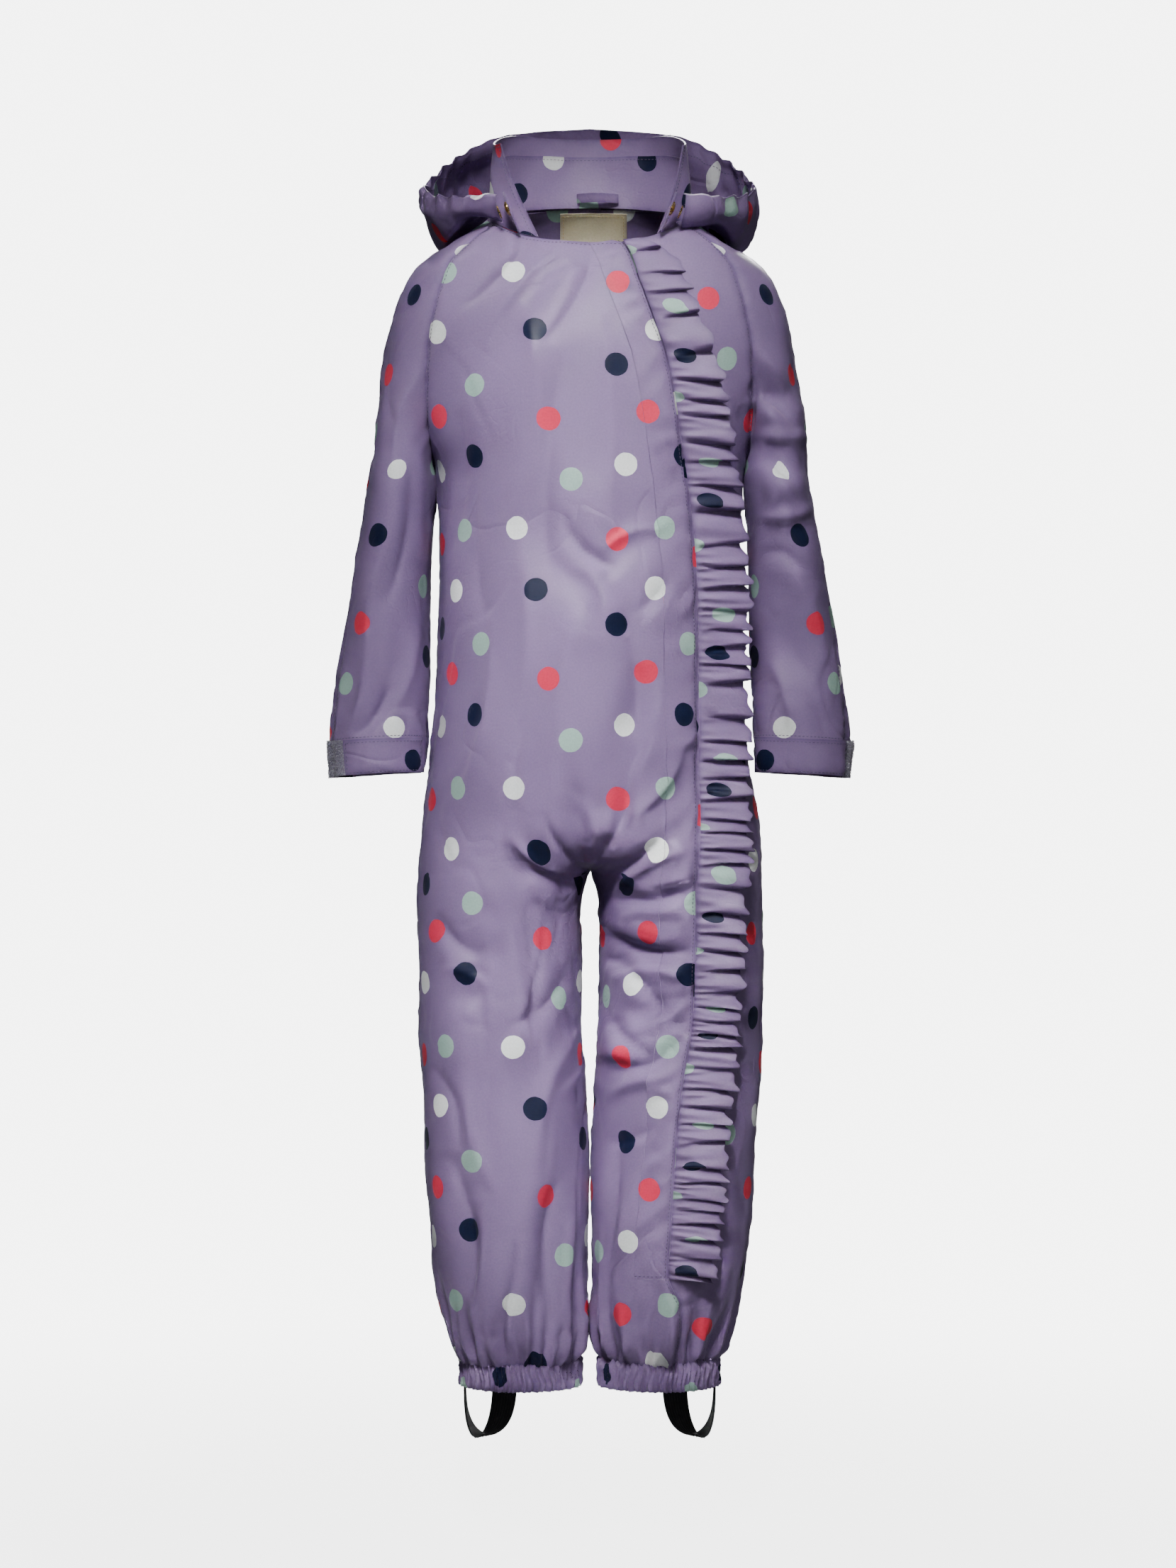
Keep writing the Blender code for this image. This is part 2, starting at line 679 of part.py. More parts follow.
COLLAR_START_X = -38
COLLAR_END_X = 50
COLLAR_ROWS = 4
COLLAR_BACK_TOP = 75
COLLAR_FRONT_TOP = 60
COLLAR_TOP_HALF = 73
COLLAR_TOP_FRONT = 60
COLLAR_TOP_BACK = 60
COLLAR_CLOSING = 0.78
STAND_TURN = 88


def neck_ring(surface):
    """The neckline's points, from the collar's right front end round the back to its left one."""
    right_front, right_back = surface.neck[-1]
    left_front, left_back = surface.neck[1]
    points = surface.points
    start = [n for n in right_front[::-1] if points[n][0] <= COLLAR_START_X]
    end = [n for n in left_front if points[n][0] >= COLLAR_END_X]
    arm_right = surface.neck_arm[-1][2:-1:2]
    arm_left = surface.neck_arm[1][-3:0:-2]
    ring = start + arm_right + right_back + left_back[-2::-1] + arm_left + end
    return points[ring]


def collar_rows(ring):
    """Rows of the collar from its top edge down to the neckline."""
    rows = []
    for level in range(COLLAR_ROWS, -1, -1):
        share = level / COLLAR_ROWS
        row = []
        for base in ring:
            turn = math.atan2(base[0], base[1])
            top_turn = turn * COLLAR_CLOSING
            ahead = smoothstep((abs(turn) - math.radians(60)) / math.radians(80))
            depth = COLLAR_TOP_BACK if math.cos(top_turn) > 0 else COLLAR_TOP_FRONT
            top = np.array([COLLAR_TOP_HALF * math.sin(top_turn),
                            depth * math.cos(top_turn),
                            COLLAR_BACK_TOP + (COLLAR_FRONT_TOP - COLLAR_BACK_TOP) * ahead])
            start = base + [0, 0, SEAM_GAP]
            bulge = 3.0 * math.sin(math.pi * share)
            out = np.array([math.sin(turn), math.cos(turn), 0])
            row.append(start + (top - start) * share + out * bulge)
        rows.append(row)
    return np.array(rows)


def add_collar(surface):
    ring = neck_ring(surface)
    rows = collar_rows(ring)
    normals = grid_normals(rows)
    corners, triangles = strip_wall(rows, normals, CLOTH)
    solid("collar_outer", corners, triangles, SHELL)
    turns = [math.degrees(abs(math.atan2(p[0], p[1]))) for p in rows[-1]]
    keep = [k for k, turn in enumerate(turns) if turn < STAND_TURN]
    inside = (rows - normals * (CLOTH + LAYER_GAP))[1:, keep]
    stand_normals = normals[1:, keep]
    corners, triangles = strip_wall(inside, stand_normals, CLOTH)
    solid("collar_inner", corners, triangles, SHELL)
    return inside, stand_normals


LOOP_START_X = -10
LOOP_END_X = 22
LOOP_HEIGHT = 7
LOOP_RISE = 4.0                      # above the neck seam
LOOP_LEAN = 0.9
LOOP_SAG = 5.5
LOOP_STEPS = 8
LOOP_CLOTH = 1.2


def add_hang_loop(stand, stand_normals):
    """A short strap across the inner stand, just above the back neck seam."""
    back = [k for k in range(stand.shape[1]) if stand[-1][k][1] > 0]
    xs = [stand[-1][k][0] for k in back]
    order = np.argsort(xs)
    surface_y = [(stand[-1][k] - stand_normals[-1][k] * CLOTH)[1] for k in back]
    surface_z = [stand[-1][k][2] for k in back]
    rows = []
    for level in (1, 0):
        row = []
        for step in range(LOOP_STEPS + 1):
            share = step / LOOP_STEPS
            x = LOOP_START_X + (LOOP_END_X - LOOP_START_X) * share
            y = float(np.interp(x, np.array(xs)[order], np.array(surface_y)[order]))
            z = float(np.interp(x, np.array(xs)[order], np.array(surface_z)[order]))
            lean = level * LOOP_LEAN
            row.append([x, y - LAYER_GAP - LOOP_CLOTH - LOOP_SAG * math.sin(math.pi * share) - lean,
                        z + LOOP_RISE + level * LOOP_HEIGHT])
        rows.append(row)
    rows = np.array(rows)[:, ::-1]
    corners, triangles = strip_wall(rows, grid_normals(rows), LOOP_CLOTH)
    solid("hang_loop", corners, triangles, SHELL)


LABEL_ENDS_X = (-23, 29)
LABEL_STEPS = 6
LABEL_LEVELS = (0.08, 0.5, 1.0, 1.5)     # in rows of the back panel, from the neck seam down
LABEL_CLOTH = 0.9
LABEL_GAP = 0.5


def add_label(surface):
    """The label lies on the inside of the back, under the neck seam."""
    def across_back(level, x):
        low = int(level)
        found = []
        for row in (low, low + 1):
            line = surface.back_rows[-1][row] + surface.back_rows[1][row][-2::-1]
            points, normals = surface.points[line], surface.normals[line]
            found.append([np.array([np.interp(x, points[:, 0], part[:, axis]) for axis in range(3)])
                          for part in (points, normals)])
        share = level - low
        point, normal = (found[0][k] * (1 - share) + found[1][k] * share for k in range(2))
        return point - normal / np.linalg.norm(normal) * (CLOTH + LABEL_GAP)

    xs = np.linspace(*LABEL_ENDS_X, LABEL_STEPS + 1)
    rows = np.array([[across_back(level, x) for x in xs] for level in LABEL_LEVELS])
    corners, triangles = strip_wall(rows, grid_normals(rows), LABEL_CLOTH)
    solid("neck_label", corners, triangles, CREAM)


# ---------------------------------------------------------------- hood, straps and studs

HOOD_TURNS = [0, 8, 17, 26, 34, 43, 52, 60, 67, 74, 81, 88, 96, 105, 115, 125]
HOOD_STEPS = 9
HOOD_PARTS = ("neck", "inner", "low", "outer", "rim")


def hood_point(turn, share):
    """A point of the hood at a direction and a share of the way from its neck edge to its rim."""
    turns = [row.turn for row in HOOD]
    places = [0.0, 0.22, 0.42, 0.68, 1.0]
    spans = [curve(turns, [getattr(row, part + "_r") for row in HOOD], abs(turn)) for part in HOOD_PARTS]
    heights = [curve(turns, [getattr(row, part + "_z") for row in HOOD], abs(turn)) for part in HOOD_PARTS]
    away = curve(places, spans, share)
    height = curve(places, heights, share)
    around = math.radians(turn)
    return np.array([away * math.sin(around), HOOD_MIDDLE_Y + away * math.cos(around), height])


def add_hood():
    turns = [-turn for turn in HOOD_TURNS[:0:-1]] + HOOD_TURNS
    hood = Surface()
    rows = []
    for level in range(HOOD_STEPS + 1):
        share = level / HOOD_STEPS
        numbers = []
        for k, turn in enumerate(turns):
            point = hood_point(turn, share)
            bunched = math.exp(-((abs(turn) - 78) / 18) ** 2) * share ** 3
            point[2] += HOOD_GATHER * bunched * (1 if k % 2 else -1)
            numbers.append(hood.add((level, k), point))
        rows.append(numbers)

    def panel(row, column):
        middle = (turns[column] + turns[column + 1]) / 2
        if abs(middle) < HOOD_SEAM_TURN:
            return "hood_centre"
        return "hood_left" if middle > 0 else "hood_right"

    hood.grid(rows, panel, flip=False)
    hood.finish()
    for name in ("hood_centre", "hood_left", "hood_right"):
        corners, triangles = wall_mesh(hood, {name}, HOOD_CLOTH)
        solid(name, corners, triangles, SHELL)


STRAP_FOOT = (51.5, -51.5, -9.0)
STRAP_HEAD = (63.0, -51.5, 20.0)
STRAP_WIDTH = 9
STRAP_CLOTH = 1.4
STUD_RADIUS = 5.6
STUD_LENGTH = 4.0
CAP_RADIUS = 5.2
CAP_LENGTH = 1.6


def add_strap(side, label):
    """A short upright strap, seen edge-on from the front, with a rounded head."""
    foot = np.array(STRAP_FOOT) * (side, 1, 1)
    head = np.array(STRAP_HEAD) * (side, 1, 1)
    run = head - foot
    length = float(np.linalg.norm(run))
    bpy.ops.mesh.primitive_cube_add(size=1)
    made = bpy.context.object
    made.name = f"snap_tab_{label}"
    made.data.name = made.name
    made.data.transform(scale_matrix(STRAP_CLOTH * MM, STRAP_WIDTH * MM, length * MM))
    made.location = tuple((foot + head) / 2 * MM)
    made.rotation_euler = (0, math.atan2(run[0], run[2]), 0)
    bevel = made.modifiers.new("Rounded edges", "BEVEL")
    bevel.width = 0.5 * MM
    bevel.segments = 1
    made.data.materials.append(material(made.name, SHELL))
    adopt(made)


def scale_matrix(x, y, z):
    return Matrix.Diagonal((x, y, z, 1.0))


def adopt(made):
    for group in list(made.users_collection):
        group.objects.unlink(made)
    bpy.data.collections["snowsuit"].objects.link(made)


def add_disc(name, centre, axis_angle, radius, length, finish):
    """A small turned stud whose axis runs across the garment."""
    bpy.ops.mesh.primitive_cylinder_add(vertices=14, radius=radius * MM, depth=length * MM)
    made = bpy.context.object
    made.name = name
    made.data.name = name
    made.location = tuple(np.array(centre) * MM)
    made.rotation_euler = (0, axis_angle, 0)
    bevel = made.modifiers.new("Rounded edges", "BEVEL")
    bevel.width = 0.5 * MM
    bevel.segments = 1
    bevel.limit_method = "ANGLE"
    made.data.materials.append(material(name, finish))
    adopt(made)


STUD_PLACE = 0.6                     # how far up the strap the studs sit
CAP_OFFSET = 4.2


def add_studs(side, label):
    strap = np.array(STRAP_FOOT) + (np.array(STRAP_HEAD) - np.array(STRAP_FOOT)) * STUD_PLACE
    lean = math.atan2(STRAP_HEAD[0] - STRAP_FOOT[0], STRAP_HEAD[2] - STRAP_FOOT[2])
    reach = STRAP_CLOTH / 2 + LAYER_GAP + STUD_LENGTH / 2
    across = np.array([math.cos(lean), 0, -math.sin(lean)])
    stud = strap + reach * across
    cap = strap + (reach + STUD_LENGTH / 2 + CAP_OFFSET + CAP_LENGTH / 2) * across
    turn = side * (math.pi / 2 + lean)
    add_disc(f"hood_snap_{label}", stud * (side, 1, 1), turn, STUD_RADIUS, STUD_LENGTH, GOLD)
    add_disc(f"hood_cap_{label}", cap * (side, 1, 1), turn, CAP_RADIUS, CAP_LENGTH, GOLD)


# ---------------------------------------------------------------- frill, casings and stirrups

def frill_phase(share):
    """How many waves have passed at a share of the frill's length, uneven as gathers are."""
    return (FRILL_WAVES * share + 0.42 * math.sin(2 * math.pi * 3.1 * share)
            + 0.20 * math.sin(2 * math.pi * 8.7 * share + 1.0))


def add_frill(surface):
    """A gathered strip on the opening's seam, flat where it is sewn and waved at its free edge."""
    seam = surface.points[surface.frill_seam]
    seam_normals = surface.normals[surface.frill_seam]
    lengths = np.concatenate([[0], np.cumsum(np.linalg.norm(np.diff(seam, axis=0), axis=1))])
    total = lengths[-1]
    count = FRILL_WAVES * FRILL_SAMPLES
    rows = [[] for _ in range(FRILL_ROWS)]
    for step in range(count + 1):
        share = step / count
        inset = FRILL_INSET + (total - 2 * FRILL_INSET) * share
        base = np.array([np.interp(inset, lengths, seam[:, axis]) for axis in range(3)])
        normal = np.array([np.interp(inset, lengths, seam_normals[:, axis]) for axis in range(3)])
        normal /= np.linalg.norm(normal)
        wave = 2 * math.pi * frill_phase(share)
        reach = down(OPENING, "reach", base[2])
        for level in range(FRILL_ROWS):
            out = level / (FRILL_ROWS - 1)
            swell = 0.75 + 0.25 * math.sin(2 * math.pi * 5.3 * share + 0.6)
            height = FRILL_HEIGHT * swell * out ** 0.85 * (0.5 + 0.5 * math.sin(wave + 0.5 * out))
            slide = -FRILL_LEAN * out * math.cos(wave)
            width = reach * (1 + 0.05 * math.sin(1.7 * wave))
            flare = np.array([width * out, width * out * FRILL_TURN_BACK * -normal[0] / normal[1], slide])
            lifted = normal * (LAYER_GAP + FRILL_CLOTH + FRILL_LIFT + FRILL_EDGE_LIFT * out)
            rows[level].append(base + lifted + flare + np.array(FRILL_WAVE_WAY) * height)
    grid = np.array(rows).transpose(1, 0, 2)[:, ::-1]
    normals = grid_normals(grid)
    corners, triangles = strip_wall(grid, normals, FRILL_CLOTH)
    solid("ruffle", corners, triangles, SHELL)


def casing_frame():
    hem = BODY[-1]
    middle = (hem.outer + hem.inner) / 2
    half = (hem.outer - hem.inner) / 2
    return middle, half, (hem.front + hem.back) / 2


def add_casing(side, label):
    middle, half, depth = casing_frame()
    count = CASING_GATHERS * 4
    outer = []
    for z, bulge in ((CASING_TOP - SEAM_GAP, 0.5), (CASING_TOP - 8, 1.0), (CASING_BOTTOM, 0.8)):
        row = []
        for step in range(count):
            turn = 2 * math.pi * step / count
            wave = math.sin(CASING_GATHERS * turn + 0.8 * math.sin(3 * turn)) * CASING_DEPTH * bulge
            row.append([side * (middle + (half + wave) * math.cos(turn)),
                        -(depth + wave) * math.sin(turn), z])
        outer.append(row if side > 0 else row[::-1])
    inner = []
    inset = CASING_CLOTH + CASING_DEPTH
    for z in (CASING_TOP - SEAM_GAP, CASING_BOTTOM):
        row = []
        for step in range(count):
            turn = 2 * math.pi * step / count
            row.append([side * (middle + (half - inset) * math.cos(turn)),
                        -(depth - inset) * math.sin(turn), z])
        inner.append(row if side > 0 else row[::-1])
    corners, triangles = strip_wall(np.array(outer), None, 0, closed=True, inner_rows=np.array(inner))
    solid(f"leg_cuff_{label}", corners, triangles, SHELL)


STIRRUP_STEPS = 16
STIRRUP_INNER_TURN = -1.25


def add_stirrup(side, label):
    """A foot strap from the outer side of the hem, under the foot, to its inner back."""
    middle, half, depth = casing_frame()
    inset = (CASING_CLOTH + CASING_DEPTH) / 2

    def hem(turn):
        point = np.array([middle + (half - inset) * math.cos(turn), -(depth - inset) * math.sin(turn), 0])
        tangent = np.array([-(half - inset) * math.sin(turn), -(depth - inset) * math.cos(turn), 0])
        return point, tangent / np.linalg.norm(tangent)

    start, start_width = hem(0.0)
    end, end_width = hem(STIRRUP_INNER_TURN)
    rows = []
    for step in range(STIRRUP_STEPS + 1):
        share = step / STIRRUP_STEPS
        turn = math.pi * share
        across = (1 - math.cos(turn)) / 2
        point = start + (end - start) * across
        point[2] = CASING_BOTTOM - SEAM_GAP - STIRRUP_DROP * math.sin(turn) ** 0.75
        width = start_width * (1 - smoothstep(share)) + end_width * smoothstep(share)
        width = width / np.linalg.norm(width) * STIRRUP_WIDTH / 2
        rows.append([point - width, point + width])
    rows = np.array(rows)
    rows[:, :, 0] *= side
    if side < 0:
        rows = rows[:, ::-1]
    normals = grid_normals(rows)
    corners, triangles = strip_wall(rows + normals * ELASTIC / 2, normals, ELASTIC)
    solid(f"stirrup_{label}", corners, triangles, BLACK)


# ---------------------------------------------------------------- the whole garment

def clear_scene():
    for thing in list(bpy.data.objects):
        bpy.data.objects.remove(thing, do_unlink=True)
    bpy.context.scene.collection.children.link(bpy.data.collections.new("snowsuit"))


def main():
    clear_scene()
    surface = build_surface()
    for name in ("front_main", "placket_band", "front_left", "back", "sleeve_left_front",
                 "sleeve_left_back", "sleeve_right_front", "sleeve_right_back"):
        corners, triangles = wall_mesh(surface, {name}, CLOTH)
        solid(name, corners, triangles, SHELL)
    add_cuff_layers(surface)
    stand, stand_normals = add_collar(surface)
    add_hang_loop(stand, stand_normals)
    add_label(surface)
    add_hood()
    for side, label in ((1, "left"), (-1, "right")):
        add_strap(side, label)
        add_studs(side, label)
        add_casing(side, label)
        add_stirrup(side, label)
    add_frill(surface)


main()
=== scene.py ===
# %% [markdown]
# # A toddler's hooded shell coverall
# The coverall is one layer of coated woven cloth, cut in panels and sewn. It hangs filled out,
# as if worn. The fixed solids give its sizes. This lesson dresses them with cloth, one garment
# piece at a time, in metres, with +Z up, +X at the wearer's left and the front towards -Y.

# %% Load the fixed solids
import math
from collections import namedtuple

import bpy
import numpy as np
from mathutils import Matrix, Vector
from mathutils.kdtree import KDTree


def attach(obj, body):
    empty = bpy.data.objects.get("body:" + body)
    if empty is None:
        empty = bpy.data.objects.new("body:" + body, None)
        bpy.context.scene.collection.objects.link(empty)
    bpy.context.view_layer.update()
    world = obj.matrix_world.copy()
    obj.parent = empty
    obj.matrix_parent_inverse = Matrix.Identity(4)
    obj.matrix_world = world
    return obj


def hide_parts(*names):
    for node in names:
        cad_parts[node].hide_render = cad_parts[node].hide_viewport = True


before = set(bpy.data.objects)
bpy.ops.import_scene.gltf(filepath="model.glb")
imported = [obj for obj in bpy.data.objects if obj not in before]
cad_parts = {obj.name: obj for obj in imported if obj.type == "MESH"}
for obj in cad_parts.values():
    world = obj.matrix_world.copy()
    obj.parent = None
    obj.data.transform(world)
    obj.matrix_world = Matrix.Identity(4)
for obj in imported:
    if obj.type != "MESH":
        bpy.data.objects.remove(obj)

MM = 0.001
FRONT, BACK = -1, 1
SIDES = ((1, "left"), (-1, "right"))
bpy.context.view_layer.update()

# %% [markdown]
# ## The garment's own sizes
# A pattern cutter keeps a size chart. These tables do the same work: each row is one level of the
# garment in millimetres. The raglan rows run from the neck to the underarm, the body rows from
# there to the hem, and the sleeve rows down to the wrist. The solids were made from the same
# chart, so the cloth fits them without any moving or scaling.

# %% Size chart of the body and sleeves
Raglan = namedtuple("Raglan", "x y z rise out_x out_z half_depth opening front_y front_z back_y back_z")
RAGLAN = [
    Raglan(72, -27, 0, 12, 77, 5, 27, -20, -60, -18, 50, 20),
    Raglan(86, -46, -12, 10, 100, -11, 47, -20, -68, -32, 62, 4),
    Raglan(103, -56, -30, 8, 122, -24, 57, -20, -75, -47, 71, -15),
    Raglan(112, -60, -52, 6, 137, -39, 61, -16, -82, -66, 79, -38),
    Raglan(118, -60, -78, 4, 148, -64, 62, -8, -88, -89, 85, -64),
    Raglan(121, -54, -105, 2, 155, -96, 62, 8, -93, -113, 89, -94),
    Raglan(122, -44, -135, 0, 160, -131, 61, 30, -97, -139, 91, -127),
    Raglan(120, -27, -164, 0, 165, -167, 60, 58, -99, -166, 92, -160),
    Raglan(116, 0, -190, 0, 169, -202, 58, 90, -100, -191, 92, -191),
]
Body = namedtuple("Body", "z outer inner front back parting")
BODY = [
    Body(-190, 116.0, 0.0, 100, 92, 0.0),
    Body(-215, 113.5, 0.0, 102, 90, 0.0),
    Body(-250, 113.5, 0.0, 105, 87, 0.0),
    Body(-300, 115.0, 0.0, 108, 85, 0.0),
    Body(-350, 116.5, 0.0, 110, 88, 0.0),
    Body(-385, 118.5, 0.0, 109, 93, 0.0),
    Body(-415, 122.0, 0.0, 106, 98, 0.0),
    Body(-440, 126.0, 0.0, 102, 98, 0.0),
    Body(-456, 127.8, 0.0, 98, 96, 0.10),
    Body(-470, 128.7, 0.0, 94, 94, 0.34),
    Body(-481, 129.2, 0.0, 90, 91, 0.66),
    Body(-490, 129.5, 0.0, 87, 89, 1.0),
    Body(-500, 130.0, 3.0, 85, 87, 1.0),
    Body(-515, 130.4, 6.0, 82, 84, 1.0),
    Body(-560, 130.5, 7.5, 78, 79, 1.0),
    Body(-600, 130.0, 6.5, 76, 76, 1.0),
    Body(-633, 128.7, 4.2, 74, 75, 1.0),
    Body(-665, 127.0, 2.5, 73, 74, 1.0),
    Body(-700, 125.0, 1.5, 72, 73, 1.0),
    Body(-746, 122.0, 1.5, 70, 71, 1.0),
    Body(-778, 119.0, 1.5, 68, 70, 1.0),
    Body(-800, 115.5, 1.6, 66, 68, 1.0),
    Body(-820, 110.5, 1.9, 63, 65, 1.0),
    Body(-838, 103.5, 3.0, 58, 60, 1.0),
    Body(-850, 98.5, 5.5, 51, 53, 1.0),
    Body(-856, 96.5, 7.5, 47, 48, 1.0),
]
Ring = namedtuple("Ring", "inner_x inner_z outer_x outer_z half_depth middle_y")
SLEEVE = [
    Ring(119.0, -222, 172.0, -228, 56, 0),
    Ring(119.5, -250, 177.5, -254, 53, 1),
    Ring(120.0, -277, 182.0, -280, 50, 1),
    Ring(120.5, -304, 186.5, -306, 47, 0),
    Ring(121.0, -330, 190.5, -332, 44, -2),
    Ring(121.5, -354, 193.5, -356, 41, -5),
    Ring(122.5, -374, 196.0, -376, 38, -8),
    Ring(123.0, -386, 196.5, -389, 36.5, -10),
    Ring(123.5, -400, 196.0, -403, 35.5, -11),
    Ring(124.0, -413, 195.0, -417, 35, -12),
]
Opening = namedtuple("Opening", "z seam_x reach")
OPENING = [
    Opening(-14, 22.6, 12),
    Opening(-28, 30.5, 31),
    Opening(-46, 36.3, 34),
    Opening(-76, 46.8, 34),
    Opening(-102, 55.7, 34),
    Opening(-129, 61.4, 36),
    Opening(-168, 67.2, 36.5),
    Opening(-226, 75.0, 35),
    Opening(-281, 78.9, 36),
    Opening(-360, 79.8, 35),
    Opening(-424, 80.8, 35),
    Opening(-507, 78.8, 34),
    Opening(-560, 77.4, 33),
    Opening(-600, 76.2, 32),
    Opening(-636, 70.2, 35),
    Opening(-667, 66.2, 36),
    Opening(-698, 63.6, 36),
    Opening(-764, 59.6, 34),
    Opening(-789, 58.8, 34),
    Opening(-812, 68.0, 34),
    Opening(-856, 66.0, 34),
]
BAND_WIDTH = 25
BAND_END = -789
CENTRE_SHIFT = [-14, -8, -3, 0]
CROTCH_Z = -490
HEM_Z = BODY[-1].z
OUTER_SEAM_TURNS = (90, 62)

# %% A smooth curve through a chart's column
def curve(places, values, at):
    """Hermite curve through the values, level with the end ones beyond them."""
    places = np.asarray(places, float)
    values = np.asarray(values, float)
    at = np.asarray(at, float)
    last = len(places) - 1
    low = np.maximum(np.arange(last + 1) - 1, 0)
    high = np.minimum(np.arange(last + 1) + 1, last)
    gap = (places[high] - places[low]).reshape([-1] + [1] * (values.ndim - 1))
    slope = (values[high] - values[low]) / gap
    cell = np.clip(np.searchsorted(places, at, side="right") - 1, 0, last - 1)
    width = places[cell + 1] - places[cell]
    step = np.clip((at - places[cell]) / width, 0, 1)
    rise = values[cell + 1] - values[cell]
    m0 = slope[cell] * width
    m1 = slope[cell + 1] * width
    return values[cell] + step * m0 + step ** 2 * (3 * rise - 2 * m0 - m1) + step ** 3 * (m0 + m1 - 2 * rise)


def down(table, column, z):
    return curve([-row.z for row in table], [getattr(row, column) for row in table], -np.asarray(z, float))


def column_at(table, column, place):
    return float(curve(np.arange(len(table)), [getattr(row, column) for row in table], place))


def smoothstep(value):
    value = np.clip(value, 0.0, 1.0)
    return value * value * (3 - 2 * value)


def spread(ends, counts):
    """Places between the ends, with a count of equal steps for each stretch."""
    places = [ends[0]]
    for k, count in enumerate(counts):
        places += [ends[k] + (ends[k + 1] - ends[k]) * (n + 1) / count for n in range(count)]
    return np.array(places)


def lengths_along(line):
    """The length gone at each point of a line, from its start."""
    return np.concatenate([[0], np.cumsum(np.linalg.norm(np.diff(line, axis=0), axis=1))])


def along_line(at, places, line):
    """The points of a line at other places along it."""
    return np.stack([np.interp(at, places, line[:, axis]) for axis in range(3)], axis=1)


def cell_corners(grid):
    """What stands at the four corners of each cell of a grid, in turn."""
    return np.stack([grid[:-1, :-1], grid[:-1, 1:], grid[1:, 1:], grid[1:, :-1]], axis=2)


def distance_to(places, points):
    """How far each point is from the nearest place."""
    tree = KDTree(len(places))
    for k, place in enumerate(places):
        tree.insert(place, k)
    tree.balance()
    return np.array([tree.find(point)[2] for point in points])


def show(name, data):
    """A new object in the scene."""
    made = bpy.data.objects.new(name, data)
    bpy.context.scene.collection.objects.link(made)
    return made


print("body rows", len(BODY), "sleeve rows", len(SLEEVE))

# %% [markdown]
# ## One surface for all the sewn panels
# On the real coverall the panels are joined edge to edge, so the form is one continuous skin with
# two arms and two legs. The skin could be sculpted, but then the panels' edges would have to be
# found again. Here it is a net of named points instead: rows round the body, and columns that
# follow the seams. Each cell knows its panel, so a seam is simply where two panels share points.

# %% The net of points
UPPER_ROWS = 70
TRUNK_ROWS = 112
LEG_ROWS = 132
LEFT_COLUMNS = (36, 9, 21)
RIGHT_COLUMNS = 72
BACK_COLUMNS = 52
ARM_COLUMNS = 40
ARM_ROWS = 80
LEG_MIDDLE_X = 60.0
PARTED = 0.999


class Net:
    """Named points with pattern places, and cells between them, each in a panel."""

    def __init__(self):
        self.number = {}
        self.points = []
        self.cells = {}
        self.places = {}

    def add(self, name, point):
        if name not in self.number:
            self.number[name] = len(self.points)
            self.points.append(point)
        return self.number[name]

    def grid(self, rows, flat, panel_of, flip):
        """Cells between rows of point numbers, with the flat pattern's place of each corner."""
        for i in range(len(rows) - 1):
            for j in range(len(rows[i]) - 1):
                corners = [(i, j), (i, j + 1), (i + 1, j + 1), (i + 1, j)]
                corners = corners[::-1] if flip else corners
                panel = panel_of(i, j)
                self.cells.setdefault(panel, []).append([rows[r][c] for r, c in corners])
                self.places.setdefault(panel, []).append([flat[r][c] for r, c in corners])

    def finish(self):
        self.points = np.array(self.points, float)
        self.cells = {panel: np.array(cells) for panel, cells in self.cells.items()}
        self.places = {panel: np.array(places) for panel, places in self.places.items()}
        self.normals = find_normals(self.points, np.vstack(list(self.cells.values())))


def find_normals(points, cells):
    across = np.cross(points[cells[:, 2]] - points[cells[:, 0]], points[cells[:, 3]] - points[cells[:, 1]])
    normals = np.zeros_like(points)
    for corner in range(4):
        np.add.at(normals, cells[:, corner], across)
    return normals / np.maximum(np.linalg.norm(normals, axis=1)[:, None], 1e-9)


# %% One level of the body, front and back
class Section:
    """A level above the underarm by its raglan place, or below it by its height."""

    def __init__(self, place=None, z=None):
        self.upper = place is not None
        self.place = place
        if self.upper:
            read = {name: column_at(RAGLAN, name, place) for name in Raglan._fields}
            arm = read["half_depth"] * math.cos(math.radians(read["opening"]))
            self.end = {FRONT: (read["x"], -read["y"], read["z"]),
                        BACK: (read["x"], read["y"] + 2 * arm, read["z"] + read["rise"])}
            self.depth = {FRONT: -read["front_y"], BACK: read["back_y"]}
            self.z = {FRONT: read["front_z"], BACK: read["back_z"]}
            self.middle = 0.0
            self.parting = 0.0
            self.stop = {}
            self.half = {}
            for face in (FRONT, BACK):
                x, y, _ = self.end[face]
                self.stop[face] = math.asin(min(0.97, y / self.depth[face]))
                self.half[face] = x / math.cos(self.stop[face])
        else:
            outer = float(down(BODY, "outer", z))
            self.parting = float(down(BODY, "parting", z))
            parted = self.parting >= PARTED
            inner = float(down(BODY, "inner", z)) if parted else 0.0
            half = (outer - inner) / 2 if parted else outer / (1 + self.parting)
            self.middle = outer - half
            self.half = {FRONT: half, BACK: half}
            self.depth = {FRONT: float(down(BODY, "front", z)), BACK: float(down(BODY, "back", z))}
            self.z = {FRONT: z, BACK: z}
            self.stop = {FRONT: 0.0, BACK: 0.0}

    def angle(self, face, x):
        return math.acos(min(1.0, max(-1.0, (x - self.middle) / self.half[face])))

    def points(self, face, side, angles):
        angles = np.asarray(angles, float)
        x = self.middle + self.half[face] * np.cos(angles)
        y = face * self.depth[face] * np.sin(angles)
        z = np.full(len(angles), float(self.z[face]))
        if self.upper:
            start = math.sin(self.stop[face])
            z = z + (self.end[face][2] - z) * (1 - np.sin(angles)) / (1 - start)
        return np.stack([side * x, y, z], axis=1)


